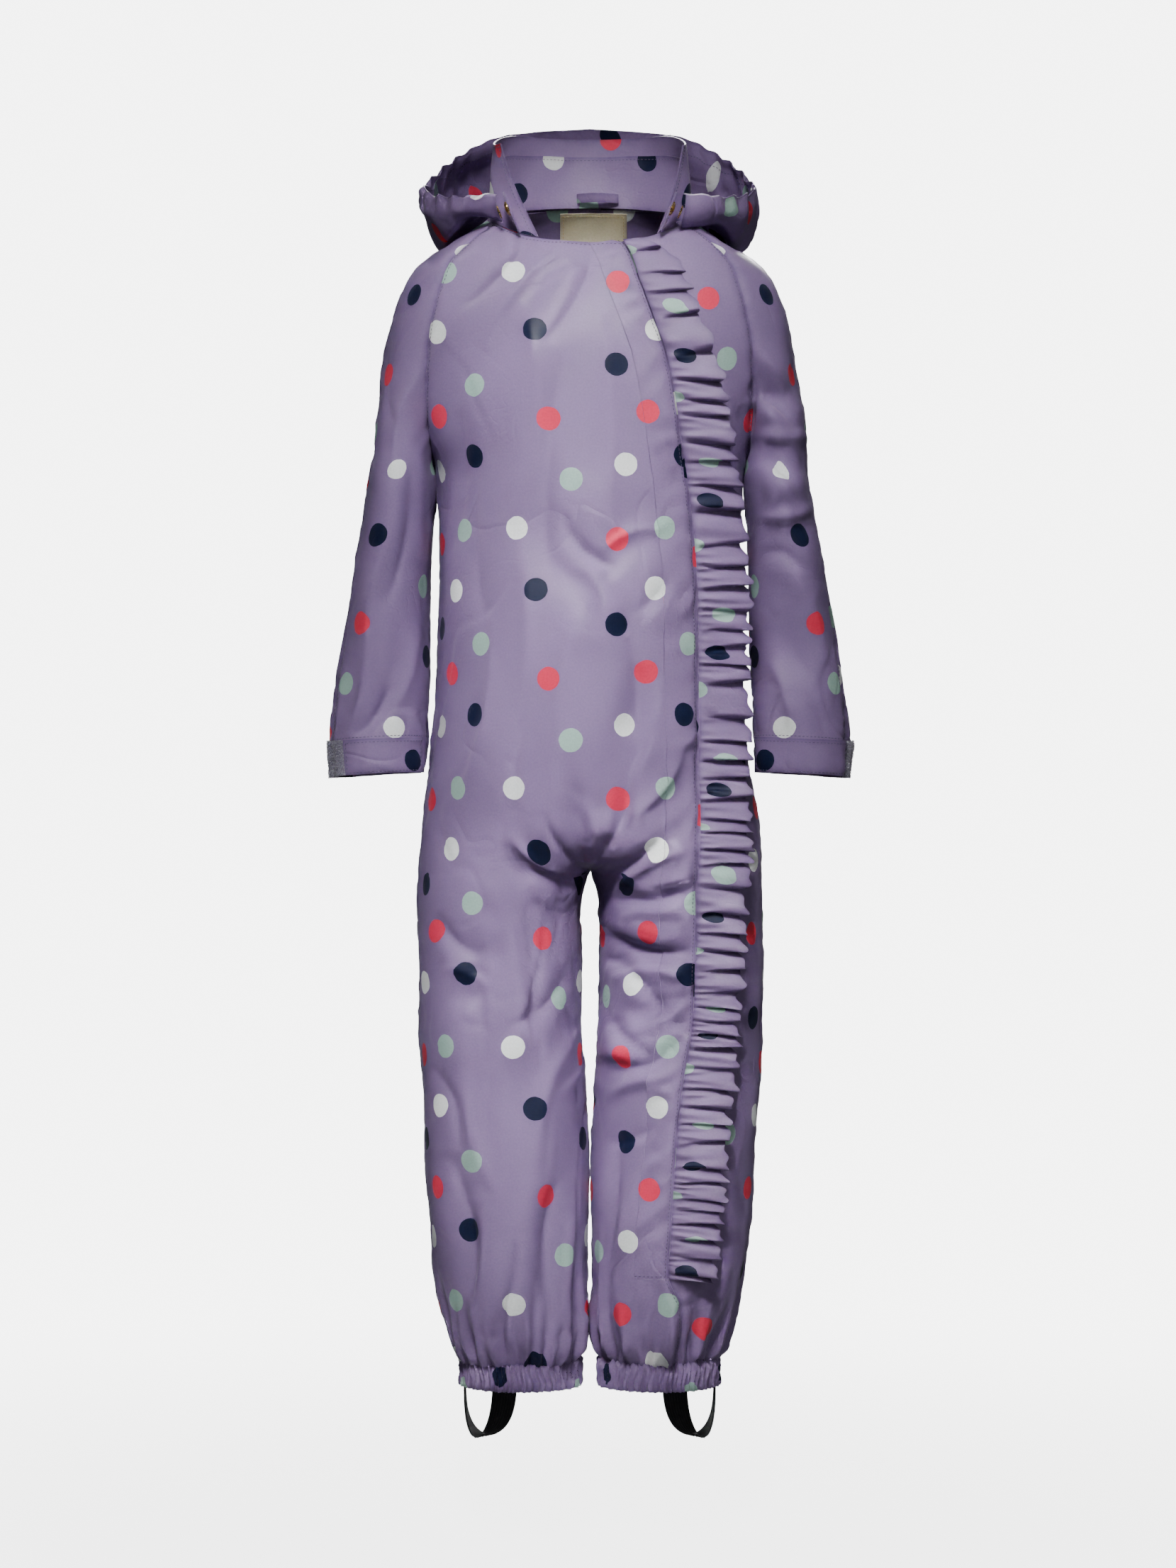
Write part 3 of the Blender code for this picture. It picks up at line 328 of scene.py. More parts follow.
def front_angles(section, side):
    shift = 0.0
    if section.upper:
        shift = float(curve(range(len(CENTRE_SHIFT)), CENTRE_SHIFT, section.place))
    middle = math.pi if section.parting >= PARTED else section.angle(FRONT, side * shift)
    if side < 0:
        return spread([section.stop[FRONT], middle], [RIGHT_COLUMNS])
    z = section.z[FRONT]
    for _ in range(3):
        seam = section.angle(FRONT, float(down(OPENING, "seam_x", z)))
        z = section.points(FRONT, 1, [seam])[0][2]
    band = section.angle(FRONT, float(down(OPENING, "seam_x", z)) - BAND_WIDTH)
    return spread([section.stop[FRONT], seam, band, middle], LEFT_COLUMNS)


def flat_row(points, side):
    """Flat pattern places of a row: across it by its own length, and down by its height."""
    steps = lengths_along(points[:, :2])
    z = points[:, 2].mean()
    anchor_x = LEG_MIDDLE_X * float(smoothstep((-440 - z) / 80))
    at = int(np.argmin(np.abs(points[:, 0] * side - anchor_x)))
    across = points[at, 0] - side * (steps - steps[at])
    return np.stack([across, -points[:, 2]], axis=1) * MM


# %% Body rows, from the neck to the hems
trunk = np.linspace(BODY[0].z, CROTCH_Z, TRUNK_ROWS + 1)
legs = np.linspace(CROTCH_Z, HEM_Z, LEG_ROWS + 1)[1:]
heights = list(trunk) + list(legs)
sections = [Section(place=(len(RAGLAN) - 1) * k / UPPER_ROWS) for k in range(UPPER_ROWS)]
sections += [Section(z=float(z)) for z in heights]
crotch_row = UPPER_ROWS + TRUNK_ROWS
band_end_row = UPPER_ROWS + int(np.argmin(np.abs(np.array(heights) - BAND_END)))
net = Net()
front_rows = {}
back_rows = {}


def point_name(face, side, row, column, last):
    if column == last:
        if row == crotch_row:
            return ("crotch",)
        return ("inseam", side, row) if row > crotch_row else ("middle", face, row)
    if column == 0:
        return ("raglan", side, face, row) if row < UPPER_ROWS else ("side", side, row)
    return (face, side, row, column)


def body_row(face, side, row, angles):
    points = sections[row].points(face, side, angles)
    last = len(angles) - 1
    numbers = [net.add(point_name(face, side, row, k, last), point) for k, point in enumerate(points)]
    return numbers, flat_row(points, side)


for side, _ in SIDES:
    front = []
    back = []
    for row, section in enumerate(sections):
        front.append(body_row(FRONT, side, row, front_angles(section, side)))
        middle = math.pi if section.parting >= PARTED else section.angle(BACK, 0.0)
        back.append(body_row(BACK, side, row, spread([section.stop[BACK], middle], [BACK_COLUMNS])))

    def front_panel(row, column):
        if side < 0 or column >= LEFT_COLUMNS[0] + LEFT_COLUMNS[1]:
            return "front_main"
        if column < LEFT_COLUMNS[0]:
            return "front_left"
        return "placket_band" if row < band_end_row else "front_main"

    net.grid([r[0] for r in front], [r[1] for r in front], front_panel, flip=side < 0)
    net.grid([r[0] for r in back], [r[1] for r in back], lambda row, column: "back", flip=side > 0)
    front_rows[side] = [r[0] for r in front]
    back_rows[side] = [r[0] for r in back]
print("body points", len(net.points))

# %% Sleeve rows, from the neck to the wrist
def arm_station(place):
    """The middle, the front-to-back half, the outward half and the opening at a place."""
    last = len(RAGLAN) - 1
    frames = []
    for station in RAGLAN:
        opening = math.radians(station.opening)
        arm = station.half_depth * math.cos(opening)
        first = np.array([station.x, station.y, station.z], float)
        final = first + [0, 2 * arm, station.rise]
        half = [0, -station.half_depth, -station.rise / 2 / max(math.cos(opening), 1e-3)]
        out = np.array([station.out_x, (first[1] + final[1]) / 2, station.out_z])
        reach = (2 * out - first - final) / (2 * (1 + math.sin(opening)))
        frames.append([*(out - reach), *half, *reach, opening])
    for ring in SLEEVE:
        inner = np.array([ring.inner_x, ring.middle_y, ring.inner_z])
        outer = np.array([ring.outer_x, ring.middle_y, ring.outer_z])
        frames.append([*((inner + outer) / 2), 0, -ring.half_depth, 0, *((outer - inner) / 2), math.pi / 2])
    read = curve(np.arange(len(frames)), frames, place)
    if place >= last:
        read[9] = math.pi / 2
    return read[:3], read[3:6], read[6:9], read[9]


arm_rows = {}
arm_flat = {}
stations = len(RAGLAN) + len(SLEEVE) - 1
arm_places = list(np.linspace(0, len(RAGLAN) - 1, UPPER_ROWS + 1))
arm_places += list(np.linspace(len(RAGLAN) - 1, stations, ARM_ROWS + 1)[1:])
cuff_row = int(np.argmin(np.abs(np.array(arm_places) - (stations - 2))))
for side, label in SIDES:
    rows = []
    flat = []
    along = 0.0
    before = None
    for row, place in enumerate(arm_places):
        centre, half, reach, opening = arm_station(place)
        turn = OUTER_SEAM_TURNS[0] + (OUTER_SEAM_TURNS[1] - OUTER_SEAM_TURNS[0]) * place / stations
        turns = spread([-opening, math.radians(turn), math.pi + opening], [ARM_COLUMNS, ARM_COLUMNS])
        points = centre + half * np.cos(turns)[:, None] + reach * np.sin(turns)[:, None]
        points[:, 0] *= side
        last = len(turns) - 1
        names = []
        for column in range(last + 1):
            edge = column in (0, last)
            if edge and row < UPPER_ROWS:
                names.append(("raglan", side, FRONT if column == 0 else BACK, row))
            elif edge:
                names.append(("side" if row == UPPER_ROWS else "underarm", side, row))
            else:
                names.append(("arm", side, row, column))
        share = np.linspace(0, 1, last + 1)[:, None]
        for column, fade in ((0, (1 - share) ** 3), (last, share ** 3)):
            if names[column] in net.number:
                miss = net.points[net.number[names[column]]] - points[column]
                points = points + miss * fade
        rows.append([net.add(name, point) for name, point in zip(names, points)])
        steps = lengths_along(points)
        outer = points[ARM_COLUMNS]
        along += 0.0 if before is None else float(np.linalg.norm(outer - before))
        before = outer
        flat.append(np.stack([(steps - steps[ARM_COLUMNS]), np.full(last + 1, along)], axis=1) * MM)

    def arm_panel(row, column):
        return f"sleeve_{label}_front" if column < ARM_COLUMNS else f"sleeve_{label}_back"

    net.grid(rows, flat, arm_panel, flip=side > 0)
    arm_rows[side] = rows
    arm_flat[side] = flat
net.finish()
print("net points", len(net.points), "cells", sum(len(c) for c in net.cells.values()))

# %% [markdown]
# ## Folds
# A filled-out shell coverall is nearly smooth over the chest and thighs. It has drag lines from the
# neck to the armpits, a soft V at the waist, deep folds that run to the crotch, and short creases
# behind the knees and elbows. A cloth simulation makes folds, but not these ones in these places.
# So each main fold is listed one by one: a line from one end to the other, how far it bows
# aside, how wide it is, and how high it stands, negative for a trough. Smaller creases come from
# a field of thin lines that is strong only near the joints and the gathered hems.

# %% The folds, seen from the front or the back, in millimetres
Fold = namedtuple("Fold", "face x0 z0 x1 z1 bow half_width height")
FOLDS = [Fold(FRONT, *row) for row in (
    (-30, -40, -112, -135, 0, 15, -3.5), (-58, -30, -118, -95, 0, 12, 3.0),
    (-10, -60, -100, -175, 0, 20, 3.0), (-60, -215, 0, -275, 0, 22, -4.5),
    (0, -275, 45, -215, 0, 20, -4.0), (-12, -318, 24, -290, 0, 15, 3.0),
    (38, -345, 14, -446, 0, 17, -8.0), (60, -372, 32, -462, 0, 14, 4.0),
    (-22, -405, -6, -470, 0, 12, -3.5), (-70, -398, -18, -478, 0, 18, 3.5),
    (82, -400, 40, -440, 0, 13, -4.0), (110, -420, 60, -492, 0, 17, 3.5),
    (-118, -440, -70, -520, 0, 22, -2.5), (8, -536, 56, -560, 0, 14, -5.0),
    (30, -592, 74, -600, 0, 12, -5.0), (14, -612, 52, -640, 0, 14, 4.0),
    (40, -655, 32, -735, 0, 13, -3.5), (-98, -540, -70, -556, 0, 12, -3.0),
    (-114, -610, -84, -742, 0, 18, 4.0), (-70, -640, -100, -776, 0, 15, -3.5),
    (-40, -700, -60, -810, 0, 12, 3.5), (-90, -780, -80, -840, 0, 8, -3.5),
    (-60, -790, -64, -842, 0, 7, 3.0), (-32, -775, -44, -842, 0, 8, -3.5),
    (34, -770, 46, -842, 0, 8, -3.5), (90, -785, 78, -842, 0, 8, -3.5),
    (124, -120, 150, -142, 0, 9, -4.5), (126, -150, 166, -140, 0, 10, 4.5),
    (130, -176, 172, -190, 0, 10, -5.0), (132, -205, 164, -192, 0, 10, 4.0),
    (138, -300, 168, -352, 0, 12, -4.0), (-148, -130, -128, -215, 0, 11, -3.0),
    (-165, -200, -172, -330, 0, 12, 3.0), (-136, -345, -160, -375, 0, 10, -3.0),
)] + [Fold(BACK, *row) for row in (
    (0, -90, 0, -330, 0, 34, -6.0), (-30, -60, -112, -150, 0, 18, -3.5),
    (30, -60, 112, -150, 0, 18, -3.5), (-90, -300, 10, -345, 0, 20, -5.0),
    (95, -320, -5, -372, 0, 20, 4.0), (-100, -395, -20, -455, 0, 18, 4.0),
    (100, -400, 22, -462, 0, 18, -4.0), (-95, -560, -35, -590, 0, 16, -4.5),
    (95, -575, 35, -556, 0, 16, -4.5), (-70, -640, -80, -790, 0, 16, 4.0),
    (72, -650, 62, -790, 0, 16, 4.0), (150, -170, 168, -215, 0, 12, -4.0),
    (-150, -175, -168, -222, 0, 12, -4.0),
)]
CREASES = [Fold(FRONT, *row) for row in (
    (-52, -60, -38, -200, 8, 13, 1.4), (-20, -110, -30, -260, -6, 12, -1.5),
    (8, -80, 14, -230, 6, 11, 1.3), (-84, -180, -70, -330, -8, 12, -1.6),
    (-50, -250, -58, -400, 8, 12, 1.6), (-10, -300, -26, -430, -6, 11, 1.5),
    (24, -280, 34, -400, 6, 9, -1.6), (-70, -500, -52, -620, 8, 11, 1.4),
    (-40, -520, -30, -640, -6, 9, -1.4), (-86, -560, -80, -690, 6, 10, -1.5),
    (-48, -14, -92, -66, 5, 6, -1.6), (-22, -22, -78, -98, -6, 7, 1.5), (2, -24, -30, -92, 6, 8, -1.3),
    (-20, -226, 16, -262, -6, 6, -1.9), (10, -250, 52, -234, 5, 6, 1.8), (-6, -262, 12, -300, 5, 7, 1.6),
    (30, -296, 58, -268, -5, 7, -1.5), (-96, -150, -104, -250, 5, 9, -1.8),
    (-74, -300, -92, -420, 8, 10, 1.7), (-38, -352, -56, -440, -7, 9, -1.6),
    (52, -346, 30, -418, 5, 7, 1.9), (48, -380, 22, -452, -5, 6, -2.4), (70, -392, 34, -446, 4, 6, 2.0),
    (28, -432, 8, -474, 3, 5, -2.2), (-4, -430, 1, -474, 3, 6, 1.8), (-34, -446, -10, -480, -4, 5, -2.0),
    (-58, -462, -18, -488, -4, 6, 1.7), (-46, -486, -14, -498, 3, 5, -1.6),
    (52, -464, 16, -486, 4, 5, -2.2), (74, -470, 22, -496, -4, 6, 2.0), (76, -500, 18, -508, 4, 6, -2.2),
    (78, -520, 26, -520, -5, 7, 2.0), (74, -544, 14, -536, 5, 6, -2.4), (70, -566, 18, -566, -6, 7, 2.3),
    (12, -552, 52, -590, 6, 6, -2.4), (72, -582, 30, -606, 5, 7, 2.4), (10, -588, 44, -622, -5, 6, -2.2),
    (64, -612, 14, -636, 6, 7, -2.4), (58, -640, 12, -656, -5, 7, 2.0), (52, -668, 16, -690, 5, 7, -1.8),
    (46, -700, 22, -770, -6, 8, 2.0), (18, -680, 12, -780, 4, 7, -1.7), (58, -746, 40, -824, 4, 8, -2.2),
    (98, -470, 108, -560, 6, 9, -1.9), (108, -590, 96, -690, -6, 9, 1.9),
    (104, -700, 92, -800, 5, 8, -2.0), (-112, -520, -84, -548, -5, 6, -1.9),
    (-108, -560, -74, -572, 4, 7, 1.7), (-16, -560, -56, -600, 6, 8, -1.5),
    (-10, -610, -40, -700, -8, 9, 1.7), (-116, -634, -96, -690, 5, 6, -1.9),
    (-92, -650, -72, -720, -5, 7, 1.8), (-104, -700, -86, -800, 6, 8, -2.1),
    (-78, -742, -92, -830, 5, 7, 2.0), (-24, -720, -34, -800, -4, 7, -2.0),
    (-52, -760, -72, -836, 4, 6, -2.2), (-14, -740, -24, -830, 3, 6, 1.7),
    (118, -96, 144, -128, 4, 6, 2.0), (120, -128, 152, -150, 4, 5, -2.6),
    (122, -160, 168, -158, -4, 6, 2.6), (124, -178, 158, -204, 5, 5, -2.4),
    (128, -222, 170, -212, -5, 6, 2.1), (132, -248, 160, -262, 4, 7, -1.7),
    (150, -262, 176, -330, 5, 8, 1.8), (134, -330, 150, -378, 4, 6, 1.6),
    (160, -356, 176, -384, 3, 5, -1.6), (-124, -110, -146, -176, -5, 7, 1.8),
    (-132, -190, -150, -280, 6, 8, -1.8), (-152, -240, -164, -350, -6, 9, 1.8),
    (-128, -300, -146, -366, 4, 7, 1.5), (-150, -352, -176, -384, 4, 6, -1.9),
    (-168, -330, -180, -384, 3, 6, 1.6),
)] + [Fold(BACK, *row) for row in (
    (-14, -30, -60, -92, 5, 9, 1.9), (14, -30, 62, -98, -5, 9, 1.8), (-60, -200, -40, -300, 7, 10, -2.0),
    (62, -180, 46, -290, -7, 10, 1.9), (-80, -330, 0, -362, 6, 8, 2.2), (80, -350, 10, -392, -6, 8, -2.3),
    (-70, -420, -14, -470, 5, 7, -2.2), (74, -430, 16, -476, -5, 7, 2.1),
    (-96, -480, -30, -500, 5, 8, -2.2), (98, -486, 30, -512, -5, 8, -2.0),
    (-92, -536, -26, -560, 6, 8, 2.3), (94, -548, 28, -580, 5, 8, 2.2),
    (-90, -600, -30, -618, -5, 8, -2.2), (92, -610, 30, -604, 5, 8, -2.2),
    (-50, -640, -44, -770, 6, 9, -1.9), (40, -660, 50, -780, -6, 9, -1.9),
    (128, -190, 160, -180, 5, 7, 2.4), (-128, -196, -160, -186, -5, 7, 2.4),
    (134, -230, 170, -250, 5, 7, -2.0), (-134, -236, -170, -256, -5, 7, -2.0),
)]


# %% Lay the folds on the net
def lay_folds(points, normals, folds, paired):
    """Raise ridges and sink troughs; paired ones have a faint opposite beside them."""
    moves = np.zeros(len(points))
    for line in folds:
        start = np.array([line.x0, line.z0], float)
        run = np.array([line.x1, line.z1]) - start
        length = float(np.hypot(*run))
        flat = points[:, [0, 2]] - start
        place = flat @ run / length ** 2
        inside = np.clip(place, 0, 1)
        aside = (flat[:, 0] * run[1] - flat[:, 1] * run[0]) / length
        aside = aside + line.bow * 4 * inside * (1 - inside)
        if paired:
            aside = np.hypot(aside, (place - inside) * length) * np.sign(aside)
        taper = np.sin(np.pi * np.clip(0.08 + 0.84 * place, 0, 1)) ** 0.7
        facing = np.clip(line.face * normals[:, 1], 0, 1) ** 0.5
        shape = np.exp(-(aside / line.half_width) ** 2)
        if paired:
            shape = np.exp(-(np.abs(aside) / (0.62 * line.half_width)) ** 1.25)
            shape = shape - 0.4 * np.exp(-((aside - 1.9 * line.half_width) / (1.3 * line.half_width)) ** 2)
        moves += line.height * shape * taper * facing
    return moves


def ripple(points, length, seed, count=14):
    """A smooth field between about -1 and 1 whose waves are about one length long."""
    chance = np.random.default_rng(seed)
    field = np.zeros(len(points))
    for _ in range(count):
        way = chance.normal(size=3)
        way /= np.linalg.norm(way)
        size = length * chance.uniform(0.7, 1.5)
        field += np.sin(points @ way * (2 * math.pi / size) + chance.uniform(0, 2 * math.pi))
    return field / math.sqrt(count / 2)


def near(points, x, y, z, reach):
    """How near points are to a place, from 0 to 1, the same on both sides of the garment."""
    away = (np.abs(points[:, 0]) - x) ** 2 + (points[:, 1] - y) ** 2 + (points[:, 2] - z) ** 2
    return np.exp(-away / reach ** 2)


all_cells = np.vstack(list(net.cells.values()))
edges = np.vstack([all_cells[:, [k, (k + 1) % 4]] for k in range(4)])
edges = np.unique(np.sort(edges, axis=1), axis=0)
share_count = np.bincount(edges.ravel(), minlength=len(net.points))


def ease(points, weight, rounds):
    """Move points towards the middle of their neighbours, by a weight for each."""
    for _ in range(rounds):
        total = np.zeros_like(points)
        for axis in range(3):
            total[:, axis] = (np.bincount(edges[:, 0], points[edges[:, 1], axis], len(points))
                              + np.bincount(edges[:, 1], points[edges[:, 0], axis], len(points)))
        points = points + (total / share_count[:, None] - points) * weight[:, None]
    return points


SEAT_ROUNDS = 70
level = np.exp(-((net.points[:, 2] + 470) / 34) ** 2)
seat = 0.6 * level * smoothstep((np.abs(net.points[:, 1]) - 18) / 30)
net.points = ease(net.points, seat, SEAT_ROUNDS)
net.normals = find_normals(net.points, all_cells)
net.points = net.points + net.normals * lay_folds(net.points, net.normals, FOLDS, False)[:, None]
net.normals = find_normals(net.points, all_cells)
main_form = net.points.copy()
print("folds", len(FOLDS), "creases", len(CREASES))

# %% [markdown]
# ## Small creases, seams and gathered hems
# Where two panels are sewn, the seam pulls the cloth in a little and puckers it. The elastic in
# each leg hem gathers the cloth into upright pleats that fade out over the shin. Both are worked
# out from how far a point is from the seam or the hem, and added along the surface's normals.

# %% Creases, seam dips, puckers and hem pleats
HEM_PLEATS = 28
HEM_PLEAT_DEPTH = 3.1
LONG_PLEATS = 13
SEAM_DIP = 1.5
PUCKER = 0.38
PULL_SPACING = 23.0
PULL_HEIGHT = 1.15
CREASE_SCALE = 2.3
LEG_CREASE_SCALE = 2.4
points = net.points
line_field = ripple(points * [1, 1, 0.8], 95, 3)
patch_field = smoothstep(0.5 + ripple(points, 130, 5) * 0.8)
joint = (near(points, 20, -60, -490, 75) + near(points, 70, 60, -600, 90) + near(points, 62, -70, -590, 60)
         + near(points, 135, 0, -165, 60) + near(points, 150, 0, -370, 55) + near(points, 55, 0, -835, 85)
         + near(points, 100, 60, -120, 60))
joint = np.clip(joint, 0, 1)
thin_lines = np.exp(-(line_field / 0.13) ** 2) - 0.5 * np.exp(-((line_field - 0.3) / 0.2) ** 2)
finer_lines = np.exp(-(ripple(points, 46, 11) / 0.2) ** 2)
small = -1.9 * thin_lines * patch_field * (0.3 + 0.7 * joint)
small -= 1.2 * finer_lines * joint
small += 1.2 * ripple(points * [1, 1, 0.6], 60, 21) * (0.4 + 0.6 * joint)
small += 0.22 * ripple(points, 22, 31) * (0.3 + 0.7 * joint)

owner_count = np.zeros(len(points), int)
pressed_flat = np.vstack([net.cells["front_main"], net.cells["placket_band"]])
sewn_panels = [cells for panel, cells in net.cells.items() if panel not in ("front_main", "placket_band")]
for cells in sewn_panels + [pressed_flat]:
    owner_count[np.unique(cells)] += 1
sewn = np.flatnonzero(owner_count > 1)
seam_distance = distance_to(points[sewn], points)
small += -SEAM_DIP * np.exp(-(seam_distance / 2.6) ** 2) + 0.35 * np.exp(-((seam_distance - 7) / 3) ** 2)
small += PUCKER * ripple(points, 11, 41) * np.exp(-(seam_distance / 9) ** 2)

frill_line = [front_rows[1][row][LEFT_COLUMNS[0]] for row in range(band_end_row + 1)]
frill_distance = distance_to(points[frill_line], points)
pull_turn = 2 * math.pi * (points[:, 2] - 0.6 * points[:, 0]) / PULL_SPACING
pull = np.sin(pull_turn + 1.7 * ripple(points, 60, 51))
small += PULL_HEIGHT * pull * np.exp(-(frill_distance - 6) / 16) * smoothstep(frill_distance / 9)

side_of = np.sign(points[:, 0])
hem_row = BODY[-1]
hem_middle = (hem_row.outer + hem_row.inner) / 2
hem_half = (hem_row.outer - hem_row.inner) / 2
hem_depth = (hem_row.front + hem_row.back) / 2


def hem_turn(points):
    x = np.abs(points[:, 0]) - hem_middle
    return np.arctan2(-points[:, 1] / hem_depth, x / hem_half)


def hem_wave(turn):
    return np.sin(HEM_PLEATS * turn + 0.8 * np.sin(3 * turn))


turn = hem_turn(points)
above = points[:, 2] - HEM_Z
pleats = HEM_PLEAT_DEPTH * hem_wave(turn) * np.exp(-(np.maximum(above - 6, 0) / 26) ** 1.3)
pleats *= 0.45 + 0.55 * smoothstep(above / 7)
long_wave = np.sin(LONG_PLEATS * turn + 1.6 * np.sin(2 * turn) + side_of)
long_reach = 34 + 16 * np.sin(5 * turn + 1.3)
pleats += 3.6 * long_wave * np.exp(-((above - 16) / long_reach) ** 2) * smoothstep(above / 12)
is_leg = points[:, 2] < -700
small += np.where(is_leg, pleats, 0.0)
creases = lay_folds(points, net.normals, CREASES, True)
on_legs = smoothstep((-380 - points[:, 2]) / 90)
creases = creases * (CREASE_SCALE + (LEG_CREASE_SCALE - CREASE_SCALE) * on_legs)
fade_neck = smoothstep(np.minimum(seam_distance, 12) / 12)
net.points = points + net.normals * (small + creases * (0.3 + 0.7 * fade_neck))[:, None]
net.normals = find_normals(net.points, all_cells)
print("seam points", len(sewn), "largest small move in mm", round(float(np.abs(small).max()), 2))

# %% [markdown]
# ## From a surface to cloth
# Cloth has two faces and a cut edge. A Solidify modifier could give the surface its thickness, but
# it would round the seams open. Here each panel's inner face is the outer one moved in along the
# shared normals, so that neighbouring panels still meet. The pattern's own flat places become the
# UV map, in metres, so that the printed spots and the weave keep their real size.

# %% Make a thin closed piece of cloth
CLOTH = 0.9
SEAM_GAP = 0.3
RIM_REACH = 2.5
FAR_AWAY = (9999, 0, 0)
made_pieces = {}


def thin_piece(name, points, normals, cells, places, thickness=CLOTH, lift=0.0, gap=SEAM_GAP, sharp=50,
               quiet=(), one_surface=False):
    """A closed thin wall on some cells, with its UV map in metres and its nearness to the rim.

    Quiet points are on a seam that is pressed flat, which gets no painted seam shade at its rim.
    Panels of one surface are shaded with the shared normals, so that the light runs on over their seams.
    """
    used, local = np.unique(cells, return_inverse=True)
    local = local.reshape(cells.shape)
    count = len(used)
    starts = np.concatenate([local[:, k] for k in range(4)])
    ends = np.concatenate([local[:, (k + 1) % 4] for k in range(4)])
    owners = np.tile(np.arange(len(cells)), 4)
    corner = np.repeat(np.arange(4), len(cells))
    rim = ~np.isin(starts * count + ends, ends * count + starts)
    starts, ends, owners, corner = starts[rim], ends[rim], owners[rim], corner[rim]
    corners = points[cells[owners]]
    face = np.cross(corners[:, 2] - corners[:, 0], corners[:, 3] - corners[:, 1])
    inward = np.cross(face, points[used][ends] - points[used][starts])
    inward /= np.maximum(np.linalg.norm(inward, axis=1)[:, None], 1e-9)
    total = np.zeros((count, 3))
    np.add.at(total, starts, inward)
    np.add.at(total, ends, inward)
    strength = np.maximum((total ** 2).sum(axis=1), 0.7)[:, None]
    outer = points[used] + total * gap / strength + normals[used] * lift
    inner = outer - normals[used] * thickness
    rim_quads = np.stack([ends, starts, starts + count, ends + count], axis=1)
    quads = np.vstack([local, local[:, ::-1] + count, rim_quads])
    first = places[owners, corner]
    second = places[owners, (corner + 1) % 4]
    uv = np.vstack([places.reshape(-1, 2), places[:, ::-1].reshape(-1, 2),
                    np.stack([second, first, first, second], axis=1).reshape(-1, 2)])
    mesh = bpy.data.meshes.new(name + "_cloth")
    mesh.from_pydata((np.vstack([outer, inner]) * MM).tolist(), [], quads.tolist())
    mesh.uv_layers.new(name="cloth").data.foreach_set("uv", uv.ravel())
    # The rim's nearness is the mask of the painted seam shade in the finishes; pressed seams get none.
    shaded_rim = starts[~np.isin(used[starts], quiet)]
    away = distance_to(np.vstack([outer[shaded_rim], [FAR_AWAY]]), outer)
    nearness = np.exp(-away / RIM_REACH)
    mesh.attributes.new("rim", "FLOAT", "POINT").data.foreach_set("value", np.tile(nearness, 2))
    mesh.shade_smooth()
    mesh.set_sharp_from_angle(angle=math.radians(sharp))
    if one_surface:
        every = np.vstack([outer, inner])[rim_quads]
        edge = np.cross(every[:, 2] - every[:, 0], every[:, 3] - every[:, 1])
        edge /= np.maximum(np.linalg.norm(edge, axis=1)[:, None], 1e-9)
        shared = normals[used]
        turned_in = -shared[local[:, ::-1]]
        loops = np.vstack([shared[local].reshape(-1, 3), turned_in.reshape(-1, 3),
                           np.repeat(edge, 4, axis=0)])
        mesh.normals_split_custom_set(loops.tolist())
    made_pieces[name] = show(name + "_cloth", mesh)
    return made_pieces[name]


def grid_cells(rows, closed=False):
    """Point numbers at the corners of each cell of a grid of points."""
    numbers = np.arange(rows.shape[0] * rows.shape[1]).reshape(rows.shape[:2])
    if closed:
        numbers = np.hstack([numbers, numbers[:, :1]])
    return cell_corners(numbers)


def grid_normals(rows):
    return find_normals(rows.reshape(-1, 3), grid_cells(rows).reshape(-1, 4)).reshape(rows.shape)


def grid_piece(name, rows, flat, closed=False, **settings):
    """A thin piece on a grid of points, whose rows run down and columns turn as the panels' do."""
    points = rows.reshape(-1, 3)
    cells = grid_cells(rows, closed).reshape(-1, 4)
    places = cell_corners(flat).reshape(-1, 4, 2)
    return thin_piece(name, points, find_normals(points, cells), cells, places, **settings)


def flat_grid(rows, origin=(0.0, 0.0), closed=False):
    """Flat places of a grid: across by the middle row's length, down by the middle column's."""
    middle_row = rows[len(rows) // 2]
    if closed:
        middle_row = np.vstack([middle_row, middle_row[:1]])
    across = lengths_along(middle_row)
    along = lengths_along(rows[:, rows.shape[1] // 2])
    u, v = np.meshgrid(across, along)
    return np.stack([u, v], axis=2) * MM + np.array(origin)


# %% [markdown]
# ## The sewn panels
# The coverall's front is one large panel that runs from the wearer's right side to the opening,
# then a narrow band beside the zip, then the left front. The back is one panel, and each raglan
# sleeve has a front and a back half. Each was cut from another place of the printed cloth, so
# each gets its own start in the pattern.

# %% Cut the eight panels
PRINT_START = {
    "front_main": (0.0, 0.0),
    "placket_band": (0.0, 0.0),
    "front_left": (0.047, 0.0915),
    "back": (0.083, 0.061),
    "sleeve_left_front": (0.0, 0.0),
    "sleeve_left_back": (0.052, 0.087),
    "sleeve_right_front": (0.0, 0.0),
    "sleeve_right_back": (0.031, 0.104),
}
band_line = np.intersect1d(net.cells["front_main"], net.cells["placket_band"])
for panel, start in PRINT_START.items():
    made = thin_piece(panel, net.points, net.normals, net.cells[panel], net.places[panel] + np.array(start),
                      quiet=band_line, one_surface=True)
    print(panel, len(made.data.polygons), "faces")


# %% [markdown]
# ## Cuff tabs and loop patches
# Each wrist closes with a stitched tab that presses onto a fuzzy patch. Both lie flat on the
# sleeve, so they are made from the sleeve's own rows, moved out by a cloth's thickness. The same
# rows give their stitching later.

# %% Tabs and patches on the wrists
TAB_SPAN = {1: (6, 40), -1: (6, 34)}
PATCH_SPAN = {1: (40, 57), -1: (34, 57)}
TAB_LIFT = 1.7
TAB_CLOTH = 1.3


def part_of_arm(side, first, final, start, end):
    rows = [line[start:end + 1] for line in arm_rows[side][first:final]]
    flat = np.array([line[start:end + 1] for line in arm_flat[side][first:final]])
    return np.array(rows), flat


